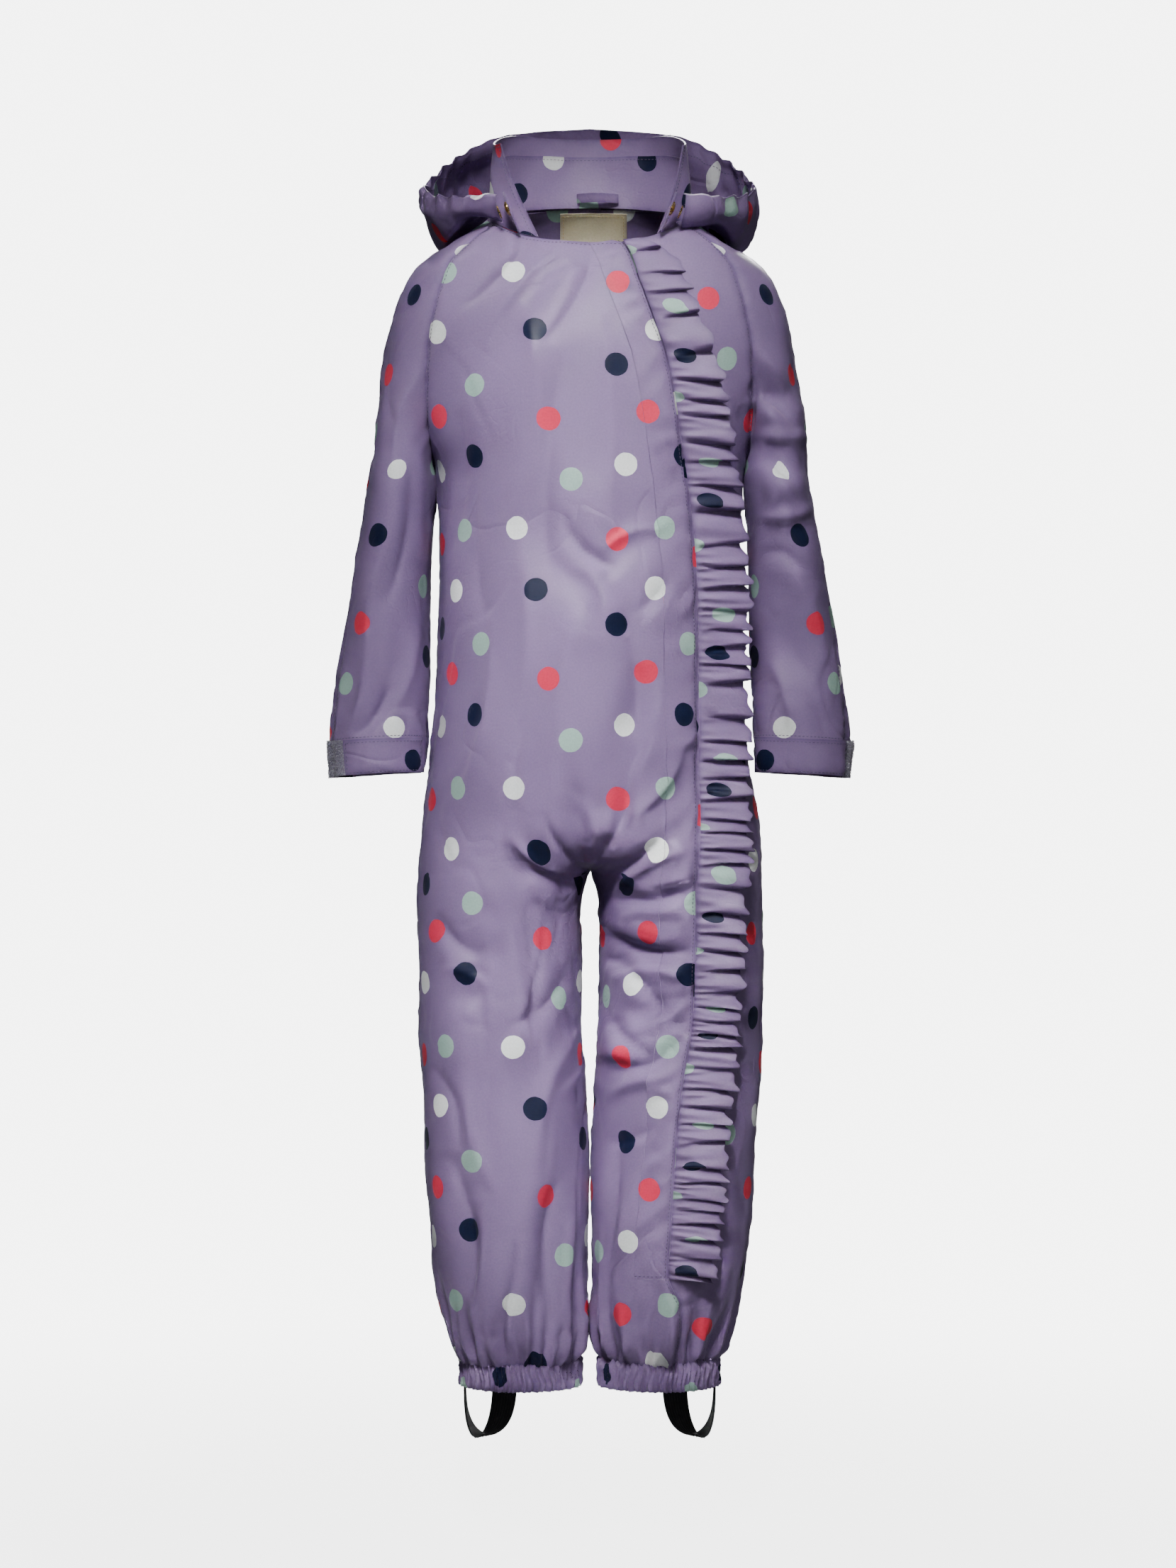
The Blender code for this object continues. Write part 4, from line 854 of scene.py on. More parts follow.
for side, label in SIDES:
    for kind, span, bulge in (("cuff_tab", TAB_SPAN[side], 0.4), ("loop_patch", PATCH_SPAN[side], 0.0)):
        numbers, flat = part_of_arm(side, cuff_row, len(arm_rows[side]), *span)
        low = np.minimum(np.arange(numbers.shape[0]), np.arange(numbers.shape[0])[::-1])
        sideways = np.minimum(np.arange(numbers.shape[1]), np.arange(numbers.shape[1])[::-1])
        rise = TAB_LIFT + bulge * np.minimum(low[:, None], 3) * np.minimum(sideways[None, :], 3) / 9
        rows = net.points[numbers] + net.normals[numbers] * rise[..., None]
        if side > 0:
            rows = rows[:, ::-1]
            flat = flat[:, ::-1]
        grid_piece(f"{kind}_{label}", rows, flat + np.array([0.03, 0.02]), thickness=TAB_CLOTH)


# %% [markdown]
# ## The collar
# The stand-up collar leans a little outwards and its front ends open. It is two layers: the outer
# collar, and a lower inner stand that shows inside the back of the neck. A bent strip would do,
# but the collar has to start exactly on the neckline, so it is drawn up from the neck points.

# %% Collar and inner stand
COLLAR_START_X = -38
COLLAR_END_X = 50
COLLAR_BACK_TOP = 75
COLLAR_FRONT_TOP = 60
COLLAR_TOP_HALF = 73
COLLAR_TOP_DEPTH = 60
COLLAR_CLOSING = 0.78
STAND_TURN = 88
STAND_CLOTH = 1.1
COLLAR_STEPS = 130
COLLAR_LEVELS = 20


def resample(line, count, rounds=3):
    """Even steps along a line, gently smoothed between its two ends."""
    steps = lengths_along(line)
    places = np.linspace(0, steps[-1], count + 1)
    line = along_line(places, steps, line)
    for _ in range(rounds):
        line[1:-1] = (line[:-2] + 2 * line[1:-1] + line[2:]) / 4
    return line


right_front = front_rows[-1][0]
left_front = front_rows[1][0]
ring = [n for n in right_front[::-1] if net.points[n][0] <= COLLAR_START_X]
ring += arm_rows[-1][0][1:-1] + back_rows[-1][0] + back_rows[1][0][-2::-1] + arm_rows[1][0][-2:0:-1]
ring += [n for n in left_front if net.points[n][0] >= COLLAR_END_X]
ring = resample(main_form[ring], COLLAR_STEPS)
turns = np.arctan2(ring[:, 0], ring[:, 1])
top_turns = turns * COLLAR_CLOSING
ahead = smoothstep((np.abs(turns) - math.radians(60)) / math.radians(80))
top = np.stack([COLLAR_TOP_HALF * np.sin(top_turns), COLLAR_TOP_DEPTH * np.cos(top_turns),
                COLLAR_BACK_TOP + (COLLAR_FRONT_TOP - COLLAR_BACK_TOP) * ahead], axis=1)
out = np.stack([np.sin(turns), np.cos(turns), np.zeros(len(turns))], axis=1)
collar = []
for share in np.linspace(1, 0, COLLAR_LEVELS + 1):
    soft = 0.9 * np.sin(5.2 * turns + 3 * share) * math.sin(math.pi * share) ** 0.8
    soft = soft + 0.6 * np.sin(11.3 * turns - 4 * share + 1) * math.sin(math.pi * share)
    bulge = 3.0 * math.sin(math.pi * share) + soft
    collar.append(ring + [0, 0, 0.3] + (top - ring) * share + out * bulge[:, None])
collar = np.array(collar)
collar_flat = flat_grid(collar, (0.012, 0.05))
grid_piece("collar_outer", collar, collar_flat, thickness=1.2, gap=0.0)
collar_normals = grid_normals(collar)
inside = np.flatnonzero(np.abs(np.degrees(turns)) < STAND_TURN)
first = COLLAR_LEVELS // 4
stand = (collar - collar_normals * 1.6)[first:, inside]
stand_flat = collar_flat[first:, inside] + np.array([0.075, 0.02])
grid_piece("collar_inner", stand, stand_flat, thickness=STAND_CLOTH, gap=0.0)
stand_normals = collar_normals[first:, inside]
print("collar ring length in mm", round(float(np.linalg.norm(np.diff(ring, axis=0), axis=1).sum()), 1))


# %% [markdown]
# ## Hang loop and label
# A small loop of the same cloth crosses the inner stand, and a cream woven label lies under the
# back neck seam. The label is left plain, with a stitched gold border. Both are short strips, so
# each is a small grid placed on the stand or on the inside of the back.

# %% Loop and label
LOOP_ENDS_X = (-10, 22)
LOOP_HEIGHT = 7
LOOP_RISE = 4.0
LOOP_SAG = 5.5
LOOP_CLOTH = 1.2
LABEL_ENDS_X = (-23, 29)
LABEL_LEVELS = (0.08, 1.5)
LABEL_CLOTH = 0.8
order = np.argsort(stand[-1][:, 0])
inner_foot = (stand[-1] - stand_normals[-1] * STAND_CLOTH)[order]
xs = np.linspace(*LOOP_ENDS_X, 33)
loop = []
for level in np.linspace(1, 0, 7):
    share = (xs - LOOP_ENDS_X[0]) / (LOOP_ENDS_X[1] - LOOP_ENDS_X[0])
    y = np.interp(xs, inner_foot[:, 0], inner_foot[:, 1])
    z = np.interp(xs, inner_foot[:, 0], stand[-1][order][:, 2])
    away = 0.3 + LOOP_CLOTH + LOOP_SAG * np.sin(math.pi * share) + level * 0.9
    loop.append(np.stack([xs, y - away, z + LOOP_RISE + level * LOOP_HEIGHT], axis=1))
loop = np.array(loop)[:, ::-1]
grid_piece("hang_loop", loop, flat_grid(loop, (0.02, 0.03)), thickness=LOOP_CLOTH, gap=0.0)

rows_a_station = UPPER_ROWS / (len(RAGLAN) - 1)
label_rows = []
label_normals = []
for place in np.linspace(*LABEL_LEVELS, 18) * rows_a_station:
    low = int(place)
    parts = []
    for row in (low, low + 1):
        line = back_rows[-1][row] + back_rows[1][row][-2::-1]
        xs = np.linspace(*LABEL_ENDS_X, 31)
        parts.append([along_line(xs, main_form[line][:, 0], part[line])
                      for part in (main_form, net.normals)])
    share = place - low
    normal = parts[0][1] * (1 - share) + parts[1][1] * share
    curl = 0.5 * np.exp(-((place - LABEL_LEVELS[1] * rows_a_station) / 1.6) ** 2)
    label_rows.append(parts[0][0] * (1 - share) + parts[1][0] * share - normal * (2.0 + curl))
    label_normals.append(-normal)
label_rows = np.array(label_rows)
label_normals = np.array(label_normals)
grid_piece("neck_label", label_rows, flat_grid(label_rows), thickness=LABEL_CLOTH, gap=0.0)


# %% [markdown]
# ## The hood
# The hood hangs back over the shoulders like a soft bag, open at the top. It has a middle panel
# and two sides, and elastic gathers the sides' rims. It is drawn as sections that turn round the
# neck, each one going out from the neck edge, down into the bag and up to the rim.

# %% Three hood panels
Hood = namedtuple("Hood", "turn neck_r neck_z inner_r inner_z low_r low_z outer_r outer_z rim_r rim_z")
HOOD = [
    Hood(0, 62, 26, 86, -28, 108, -40, 130, 18, 106, 92),
    Hood(22, 64, 25, 89, -26, 111, -38, 133, 18, 111, 89),
    Hood(40, 69, 23, 95, -18, 116, -32, 136, 16, 119, 82),
    Hood(58, 76, 19, 102, -7, 117, -20, 134, 14, 124, 62),
    Hood(76, 83, 14, 101, -4, 113, -12, 129, 12, 127, 38),
    Hood(92, 84, 9, 98, -1, 109, -8, 122, 8, 121, 26),
    Hood(108, 84, 7, 94, 2, 101, 1, 108, 8, 106, 20),
    Hood(125, 79, -1, 81, 1, 83, 4, 85, 11, 85, 19),
]
HOOD_PARTS = ("neck", "inner", "low", "outer", "rim")
HOOD_PLACES = [0.0, 0.22, 0.42, 0.68, 1.0]
HOOD_MIDDLE_Y = 5
HOOD_SEAM_TURN = 34
HOOD_LEVELS = 52
RIM_GATHERS = 15
RIM_GATHER_HEIGHT = 2.0
hood_turns = spread([-125, -HOOD_SEAM_TURN, HOOD_SEAM_TURN, 125], [64, 44, 64])
table_turns = [row.turn for row in HOOD]
spans = np.array([[getattr(row, part + "_r") for part in HOOD_PARTS] for row in HOOD], float)
rises = np.array([[getattr(row, part + "_z") for part in HOOD_PARTS] for row in HOOD], float)
levels = np.linspace(0, 1, HOOD_LEVELS + 1)
hood = np.zeros((HOOD_LEVELS + 1, len(hood_turns), 3))
for column, turn in enumerate(hood_turns):
    away = curve(HOOD_PLACES, curve(table_turns, spans, abs(turn)), levels)
    rise = curve(HOOD_PLACES, curve(table_turns, rises, abs(turn)), levels)
    around = math.radians(turn)
    bunched = math.exp(-((abs(turn) - 82) / 32) ** 2) * smoothstep((levels - 0.45) / 0.5)
    wave = np.sin(2 * math.pi * RIM_GATHERS * turn / 125 + 1.2 * math.sin(turn / 9))
    rise = rise + RIM_GATHER_HEIGHT * bunched * wave
    away = away + 1.6 * bunched * wave
    hood[:, column] = np.stack([away * math.sin(around), HOOD_MIDDLE_Y + away * math.cos(around), rise],
                               axis=1)
hood_cells = grid_cells(hood)
hood_points = hood.reshape(-1, 3)
hood_normals = find_normals(hood_points, hood_cells.reshape(-1, 4))
level_of = np.repeat(levels, hood.shape[1])
turn_of = np.tile(hood_turns, hood.shape[0])
loose = smoothstep(level_of / 0.15) * smoothstep((1.02 - level_of) / 0.1)
seam_near = np.exp(-((np.abs(turn_of) - HOOD_SEAM_TURN) / 1.6) ** 2)
hood_move = 2.6 * ripple(hood_points, 72, 61) + 0.9 * ripple(hood_points, 34, 62)
hood_lines = np.exp(-(ripple(hood_points, 80, 63) / 0.15) ** 2)
hood_move = (hood_move - 1.8 * hood_lines) * loose - 1.0 * seam_near
hood_move += 0.9 * np.exp(-((level_of - 0.985) / 0.02) ** 2)
hood_points = hood_points + hood_normals * hood_move[:, None]
hood_normals = find_normals(hood_points, hood_cells.reshape(-1, 4))
hood = hood_points.reshape(hood.shape)
hood_normals_grid = hood_normals.reshape(hood.shape)
HOOD_PRINT = {"hood_right": (0.04, 0.01), "hood_centre": (0.11, 0.06), "hood_left": (0.02, 0.09)}
hood_spans = {"hood_right": (0, 64), "hood_centre": (64, 108), "hood_left": (108, 172)}


def own_flat(rows, origin):
    """Flat places of a panel whose rows differ in length: each row by its own steps from the middle."""
    middle = rows.shape[1] // 2
    across = np.cumsum(np.linalg.norm(np.diff(rows, axis=1, prepend=rows[:, :1]), axis=2), axis=1)
    along = np.cumsum(np.linalg.norm(np.diff(rows, axis=0, prepend=rows[:1]), axis=2), axis=0)
    return np.stack([across - across[:, middle:middle + 1], along], axis=2) * MM + np.array(origin)


for name, (start, end) in hood_spans.items():
    cells = hood_cells[:, start:end].reshape(-1, 4)
    flat = own_flat(hood[:, start:end + 1], HOOD_PRINT[name])
    thin_piece(name, hood_points, hood_normals, cells, cell_corners(flat).reshape(-1, 4, 2))
print("hood columns", len(hood_turns))


# %% [markdown]
# ## The frill
# A strip of the same cloth, about twice as long as the seam, is gathered into the opening. At the
# seam the gathers are small and tight. Towards the free edge they open into waves that lean over
# and fold onto each other, and the edge is a narrow turned hem. A simulation of a gathered strip
# gives even waves, so the waves are written out here: a phase along the seam that is uneven on
# purpose, a height that grows towards the edge, and a slide that makes each wave lean.

# %% Gather the frill on its seam
FRILL_WAVES = 52
FRILL_SAMPLES = 20
FRILL_LEVELS = 20
FRILL_HEIGHT = 12.5
FRILL_LEAN = 3.6
FRILL_TURN_BACK = 0.62
FRILL_CLOTH = 0.7
FRILL_LOOSE_TOP = 0.2
FLAP_CREST = 0.74
FLAP_CORNER = 2.4
GATHERS_A_WAVE = 2.3
GATHER_HEIGHT = 3.4


def frill_phase(share):
    return (FRILL_WAVES * (share - FRILL_LOOSE_TOP * np.sin(math.pi * share) / math.pi)
            + 0.34 * np.sin(2 * math.pi * 5.3 * share) + 0.12 * np.sin(2 * math.pi * 11.7 * share + 1.0))


seam_numbers = [line[LEFT_COLUMNS[0]] for line in front_rows[1][:band_end_row + 1]]
seam = main_form[seam_numbers]
seam_normal = find_normals(main_form, all_cells)[seam_numbers]
lengths = lengths_along(seam)
share = np.linspace(0, 1, FRILL_WAVES * FRILL_SAMPLES + 1)
inset = 1.0 + (lengths[-1] - 2.0) * share
base = along_line(inset, lengths, seam)
smooth_normal = along_line(inset, lengths, seam_normal)
smooth_normal /= np.linalg.norm(smooth_normal, axis=1)[:, None]
wave = 2 * math.pi * frill_phase(share)
reach = down(OPENING, "reach", base[:, 2])
chance = np.random.default_rng(17)
wave_height = np.interp(frill_phase(share), np.arange(-2, FRILL_WAVES + 3),
                        chance.uniform(0.5, 1.0, FRILL_WAVES + 5))
wave_width = np.interp(frill_phase(share), np.arange(-2, FRILL_WAVES + 3),
                       chance.uniform(-1, 1, FRILL_WAVES + 5))
frill = []
for out_share in np.linspace(0, 1, FRILL_LEVELS + 1):
    drift = 0.16 * out_share + 0.20 * out_share * np.sin(0.31 * wave + 2.0 * np.sin(0.11 * wave))
    part = (frill_phase(share) + drift) % 1.0
    rounded = np.where(part < FLAP_CREST, np.sin(math.pi / 2 * part / FLAP_CREST) ** 1.25,
                       np.cos(math.pi / 2 * (part - FLAP_CREST) / (1 - FLAP_CREST)))
    gather = 0.5 + 0.5 * np.sin(GATHERS_A_WAVE * wave + 1.4 * np.sin(0.37 * wave) + 1.5 * out_share)
    pinch = math.exp(-(out_share / 0.34) ** 2) * smoothstep(out_share / 0.1)
    height = FRILL_HEIGHT * wave_height * out_share ** 0.8 * rounded
    height += GATHER_HEIGHT * gather ** 1.4 * pinch * (0.6 + 0.4 * wave_width)
    height += 0.7 * math.sin(math.pi * out_share) ** 1.3 * np.sin(1.63 * wave + 3 * out_share)
    slide = -FRILL_LEAN * out_share ** 0.9 * (rounded - 0.5) * wave_height - 2.4 * out_share ** 1.5
    corner = FLAP_CORNER * (rounded - 0.5) * out_share ** 2
    width = reach * (1 + 0.035 * np.sin(1.7 * wave) + 0.04 * wave_width)
    width = width * out_share * 0.97 + corner
    turn_back = FRILL_TURN_BACK * -smooth_normal[:, 0] / smooth_normal[:, 1]
    flare = np.stack([width, width * turn_back, slide], axis=1)
    lifted = smooth_normal * (1.5 + 2.2 * out_share)
    frill.append(base + lifted + flare + np.array([0.35, -0.94, 0.0]) * height[:, None])
frill = np.array(frill).transpose(1, 0, 2)[:, ::-1]
real_width = float(OPENING[8].reach)
across = np.linspace(real_width, 0, FRILL_LEVELS + 1)
along = lengths_along(frill[:, 0])
frill_flat = np.stack(np.meshgrid(across, along), axis=2) * MM + np.array([0.06, 0.02])
grid_piece("ruffle", frill, frill_flat, thickness=FRILL_CLOTH, gap=0.0)
print("frill seam", round(float(lengths[-1])), "mm; its free edge", round(float(along[-1])), "mm")


# %% [markdown]
# ## Elastic hems and foot straps
# Each leg ends in a casing with elastic inside, so it shows many small pleats, nipped in at the
# middle. Under it a black ribbed elastic strap goes below the foot. Both follow the hem's oval.

# %% Casings
CASING_TOP = -856
CASING_BOTTOM = -876
CASING_DEPTH = 2.5
CASING_PLEATS = 34
CASING_SAMPLES = 18
CASING_LEVELS = 14
CASING_TUCK = 1.9


def hem_point(turn, aside, z, side):
    return np.stack([side * (hem_middle + (hem_half + aside) * np.cos(turn)),
                     -(hem_depth + aside) * np.sin(turn), np.broadcast_to(z, turn.shape)], axis=-1)


for side, label in SIDES:
    turns = np.linspace(0, 2 * math.pi, HEM_PLEATS * CASING_SAMPLES, endpoint=False)
    tucked = hem_point(turns, hem_wave(turns) * HEM_PLEAT_DEPTH * 0.45 - CASING_TUCK, CASING_TOP + 3.0, side)
    rows = [tucked if side > 0 else tucked[::-1]]
    for share in np.linspace(0, 1, CASING_LEVELS + 1):
        nip = 0.55 + 0.45 * abs(2 * share - 1) ** 1.5
        wave = hem_wave(turns + 0.05 * math.sin(6 * share)) * CASING_DEPTH * 0.6 * nip
        fine = np.sin(CASING_PLEATS * turns + 1.3 * np.sin(5 * turns) + 0.9 * math.sin(5 * share + 1))
        wave = wave + CASING_DEPTH * nip * (1 - 2 * np.abs(fine) ** 1.4 * 0.8)
        puff = 0.8 * math.sin(math.pi * share)
        edge_roll = -1.0 * smoothstep((share - 0.9) / 0.1) - 0.7 * smoothstep((0.08 - share) / 0.08)
        z = CASING_TOP - 0.3 + (CASING_BOTTOM - CASING_TOP + 0.3) * share
        ring = hem_point(turns, wave + puff + edge_roll, z, side)
        rows.append(ring if side > 0 else ring[::-1])
    rows = np.array(rows)
    grid_piece(f"leg_cuff_{label}", rows, flat_grid(rows, (0.01, 0.1), closed=True), closed=True,
               thickness=1.1, gap=0.0)

# %% Foot straps
STIRRUP_STEPS = 90
STIRRUP_WIDTH = 20
STIRRUP_DROP = 42
STIRRUP_INNER_TURN = -1.25
STIRRUP_RIBS = 9
ELASTIC = 1.3
strap_inset = 2.05
for side, label in SIDES:
    ends = []
    for turn in (0.0, STIRRUP_INNER_TURN):
        point = hem_point(np.array([turn]), -strap_inset, 0.0, 1)[0]
        tangent = np.array([-(hem_half - strap_inset) * math.sin(turn),
                            -(hem_depth - strap_inset) * math.cos(turn), 0])
        ends.append((point, tangent / np.linalg.norm(tangent)))
    rows = []
    for share in np.linspace(0, 1, STIRRUP_STEPS + 1):
        turn = math.pi * share
        point = ends[0][0] + (ends[1][0] - ends[0][0]) * (1 - math.cos(turn)) / 2
        point[2] = CASING_BOTTOM - 0.3 - STIRRUP_DROP * math.sin(turn) ** 0.75
        ease_share = float(smoothstep(share))
        width = ends[0][1] * (1 - ease_share) + ends[1][1] * ease_share
        width = width / np.linalg.norm(width) * STIRRUP_WIDTH / 2
        rows.append([point + width * place for place in np.linspace(-1, 1, 4 * STIRRUP_RIBS + 1)])
    rows = np.array(rows)
    rows[:, :, 0] *= side
    if side < 0:
        rows = rows[:, ::-1]
    normals = grid_normals(rows)
    rib = 0.16 * np.cos(np.linspace(-1, 1, 4 * STIRRUP_RIBS + 1) * math.pi * STIRRUP_RIBS)
    rows = rows + normals * (ELASTIC / 2 + rib[None, :, None])
    grid_piece(f"stirrup_{label}", rows, flat_grid(rows), thickness=ELASTIC, gap=0.0)

# %% [markdown]
# ## Hood snaps
# At each end of the hood a short strap comes up from the collar's base, and a press stud holds the
# hood's corner to it. From the front the strap shows edge-on, with the gold stud beside it. The
# strap is a small folded strip. A stud is turned, so its profile is spun round its axis.

# %% Straps and studs
STRAP_FOOT = np.array((51.5, -51.5, -9.0))
STRAP_HEAD = np.array((63.0, -51.5, 20.0))
STRAP_WIDTH = 9
STRAP_CLOTH = 1.4
STUD_PROFILE = [(0, 2.0), (1.4, 2.0), (1.9, 1.75), (3.6, 1.6), (4.3, 1.35), (4.7, 0.9), (5.2, 0.7),
                (5.6, 0.35), (5.6, -0.35), (5.2, -0.7), (4.2, -0.9), (3.6, -1.2), (3.4, -1.8),
                (2.2, -2.0), (0, -2.0)]
CAP_PROFILE = [(0, 0.8), (2.6, 0.72), (4.1, 0.5), (4.9, 0.2), (5.2, -0.2), (5.0, -0.6), (4.2, -0.8),
               (0, -0.8)]
STUD_STEPS = 40
STUD_PLACE = 0.6
CAP_OFFSET = 4.2


def turned(name, profile, centre, axis):
    """Spin a profile of (radius, place along the axis) into a closed turned shape."""
    axis = np.asarray(axis, float) / np.linalg.norm(axis)
    first = np.cross(axis, [0, 0, 1.0])
    first /= np.linalg.norm(first)
    second = np.cross(axis, first)
    corners = [centre + axis * profile[0][1]]
    for radius, place in profile[1:-1]:
        for step in range(STUD_STEPS):
            turn = 2 * math.pi * step / STUD_STEPS
            outward = first * math.cos(turn) + second * math.sin(turn)
            corners.append(centre + axis * place + outward * radius)
    corners.append(centre + axis * profile[-1][1])
    faces = []
    final = len(corners) - 1
    rings = len(profile) - 2
    for step in range(STUD_STEPS):
        after = (step + 1) % STUD_STEPS
        faces.append((0, 1 + step, 1 + after))
        for ring_index in range(rings - 1):
            a = 1 + ring_index * STUD_STEPS
            faces.append((a + step, a + STUD_STEPS + step, a + STUD_STEPS + after, a + after))
        a = 1 + (rings - 1) * STUD_STEPS
        faces.append((a + after, a + step, final))
    mesh = bpy.data.meshes.new(name + "_metal")
    mesh.from_pydata([tuple(corner * MM) for corner in corners], [], faces)
    mesh.shade_smooth()
    mesh.set_sharp_from_angle(angle=math.radians(42))
    made_pieces[name] = show(name + "_metal", mesh)


lean = math.atan2(STRAP_HEAD[0] - STRAP_FOOT[0], STRAP_HEAD[2] - STRAP_FOOT[2])
across_axis = np.array([math.cos(lean), 0, -math.sin(lean)])
for side, label in SIDES:
    mirror = np.array((side, 1, 1))
    rows = []
    for share in np.linspace(1, 0, 19):
        middle = STRAP_FOOT + (STRAP_HEAD - STRAP_FOOT) * share
        half = STRAP_WIDTH / 2 * math.sqrt(max(0.0, 1 - max(0.0, (share - 0.86) / 0.14) ** 2 * 0.85))
        bend = 0.5 * math.sin(math.pi * share)
        face = middle + across_axis * (STRAP_CLOTH / 2 + bend)
        rows.append([(face + np.array([0, place * half, 0])) * mirror for place in np.linspace(-1, 1, 9)])
    rows = np.array(rows)
    rows = rows if side > 0 else rows[:, ::-1]
    grid_piece(f"snap_tab_{label}", rows, flat_grid(rows, (0.1, 0.1)), thickness=STRAP_CLOTH, gap=0.0)
    middle = STRAP_FOOT + (STRAP_HEAD - STRAP_FOOT) * STUD_PLACE
    stud = middle + across_axis * (STRAP_CLOTH / 2 + 0.3 + 2.0)
    cap = middle + across_axis * (STRAP_CLOTH / 2 + 0.3 + 4.0 + CAP_OFFSET + 0.8)
    turned(f"hood_snap_{label}", STUD_PROFILE, stud * mirror, across_axis * mirror)
    turned(f"hood_cap_{label}", CAP_PROFILE, cap * mirror, across_axis * mirror)
face_count = sum(len(piece.data.polygons) for piece in made_pieces.values())
print("pieces so far", len(made_pieces), "with", face_count, "faces")

# %% [markdown]
# ## Topstitching
# Rows of small stitches hold the seams down. They run beside the raglan seams, the zip band, the
# hems, the tabs and the collar's edges. A stitch repeats along a path, which is what Geometry
# Nodes are for: the path is resampled at one stitch's pitch, and a small bead of thread is put at
# each point and turned along the path.

# %% Lines that the thread follows
STITCH_PITCH = 3.0
STITCH_LENGTH = 2.3
THREAD = 0.55
THREAD_LIFT = 0.12
EDGE_STITCH = 2.6
SEAM_STITCH = 2.2
BAND_STITCH = 2.4
thread_lines = {"topstitching": [], "label_stitching": []}
sew = thread_lines["topstitching"].append


def walk(line, normals, start, distance, step):
    """The place at a distance along a line of points from one of them, forwards or back."""
    gone = 0.0
    k = start
    while 0 <= k + step < len(line):
        piece = float(np.linalg.norm(line[k + step] - line[k]))
        if gone + piece >= distance:
            share = (distance - gone) / max(piece, 1e-9)
            return (line[k] * (1 - share) + line[k + step] * share
                    + (normals[k] * (1 - share) + normals[k + step] * share) * THREAD_LIFT)
        gone += piece
        k += step
    return line[k] + normals[k] * THREAD_LIFT


def beside_column(lines, column, distance, step):
    return np.array([walk(net.points[numbers], net.normals[numbers], column, distance, step)
                     for numbers in lines])


def beside_net_row(numbers, row, distance, step):
    return beside_row(net.points[np.array(numbers)], net.normals[np.array(numbers)], row, distance, step)


def beside_row(grid, normals, row, distance, step):
    return np.array([walk(grid[:, k], normals[:, k], row, distance, step) for k in range(grid.shape[1])])


for side, _ in SIDES:
    upper = front_rows[side][:UPPER_ROWS + 1]
    sew(beside_column(upper, 0, SEAM_STITCH, 1))
    sew(beside_column(back_rows[side][:UPPER_ROWS + 1], 0, SEAM_STITCH, 1))
    arm = arm_rows[side]
    sew(beside_column(arm, ARM_COLUMNS, SEAM_STITCH, -1))
    for distance in (2.5, 28.0):
        sew(beside_net_row(arm, len(arm) - 1, distance, -1))
    legs_front = front_rows[side][crotch_row + 1:]
    sew(beside_column(legs_front, len(legs_front[0]) - 1, BAND_STITCH, -1))
left = front_rows[1]
band_seam = LEFT_COLUMNS[0] + LEFT_COLUMNS[1]
sew(beside_column(left[:band_end_row + 1], LEFT_COLUMNS[0], BAND_STITCH, 1))
sew(beside_column(left[band_end_row:], LEFT_COLUMNS[0], BAND_STITCH, 1))
band_foot = [left[row][LEFT_COLUMNS[0]:band_seam + 1] for row in range(band_end_row - 2, band_end_row + 1)]
sew(beside_net_row(band_foot, 2, 2.0, -1))
sew(beside_net_row([line[::-1][:RIGHT_COLUMNS] for line in front_rows[-1][:6]], 0, 3.0, 1))
sew(beside_net_row([line[LEFT_COLUMNS[0]:] for line in left[:6]], 0, 3.0, 1))


def border(rows, normals, distance):
    """A closed line inside a grid's four edges."""
    height, width = rows.shape[:2]
    across_step = np.linalg.norm(rows[height // 2, 1] - rows[height // 2, 0])
    down_step = np.linalg.norm(rows[1, width // 2] - rows[0, width // 2])
    left_at = distance / across_step
    top_at = distance / down_step
    corners = [(top_at, left_at), (top_at, width - 1 - left_at), (height - 1 - top_at, width - 1 - left_at),
               (height - 1 - top_at, left_at), (top_at, left_at)]
    line = []
    for (r0, c0), (r1, c1) in zip(corners[:-1], corners[1:]):
        for share in np.linspace(0, 1, 24, endpoint=False):
            line.append((r0 + (r1 - r0) * share, c0 + (c1 - c0) * share))
    line.append(corners[-1])
    found = []
    for r, c in line:
        i = min(int(r), height - 2)
        j = min(int(c), width - 2)
        a, b = r - i, c - j
        mix = [((1 - a) * (1 - b), i, j), ((1 - a) * b, i, j + 1),
               (a * (1 - b), i + 1, j), (a * b, i + 1, j + 1)]
        point = sum(w * rows[p, q] for w, p, q in mix)
        normal = sum(w * normals[p, q] for w, p, q in mix)
        found.append(point + normal * THREAD_LIFT)
    return np.array(found)


for side, _ in SIDES:
    numbers, _ = part_of_arm(side, cuff_row, len(arm_rows[side]), *TAB_SPAN[side])
    rows = net.points[numbers] + net.normals[numbers] * (TAB_LIFT + 0.35)
    sew(border(rows, net.normals[numbers], EDGE_STITCH))
sew(beside_row(collar, collar_normals, 0, EDGE_STITCH, 1))
sew(beside_row(stand, -stand_normals, 0, EDGE_STITCH, 1) - stand_normals[0] * STAND_CLOTH)
for column in (2, collar.shape[1] - 3):
    sew(collar[:, column] + collar_normals[:, column] * THREAD_LIFT)
sew(beside_row(hood, hood_normals_grid, HOOD_LEVELS, 12.0, -1))
for column, step in ((64, 1), (108, -1)):
    sew(np.array([walk(row, normals, column, SEAM_STITCH, step)
                  for row, normals in zip(hood, hood_normals_grid)]))
label_face = label_rows + label_normals * LABEL_CLOTH
thread_lines["label_stitching"].append(border(label_face, label_normals, BAND_STITCH))
print("thread lines", {name: len(lines) for name, lines in thread_lines.items()})

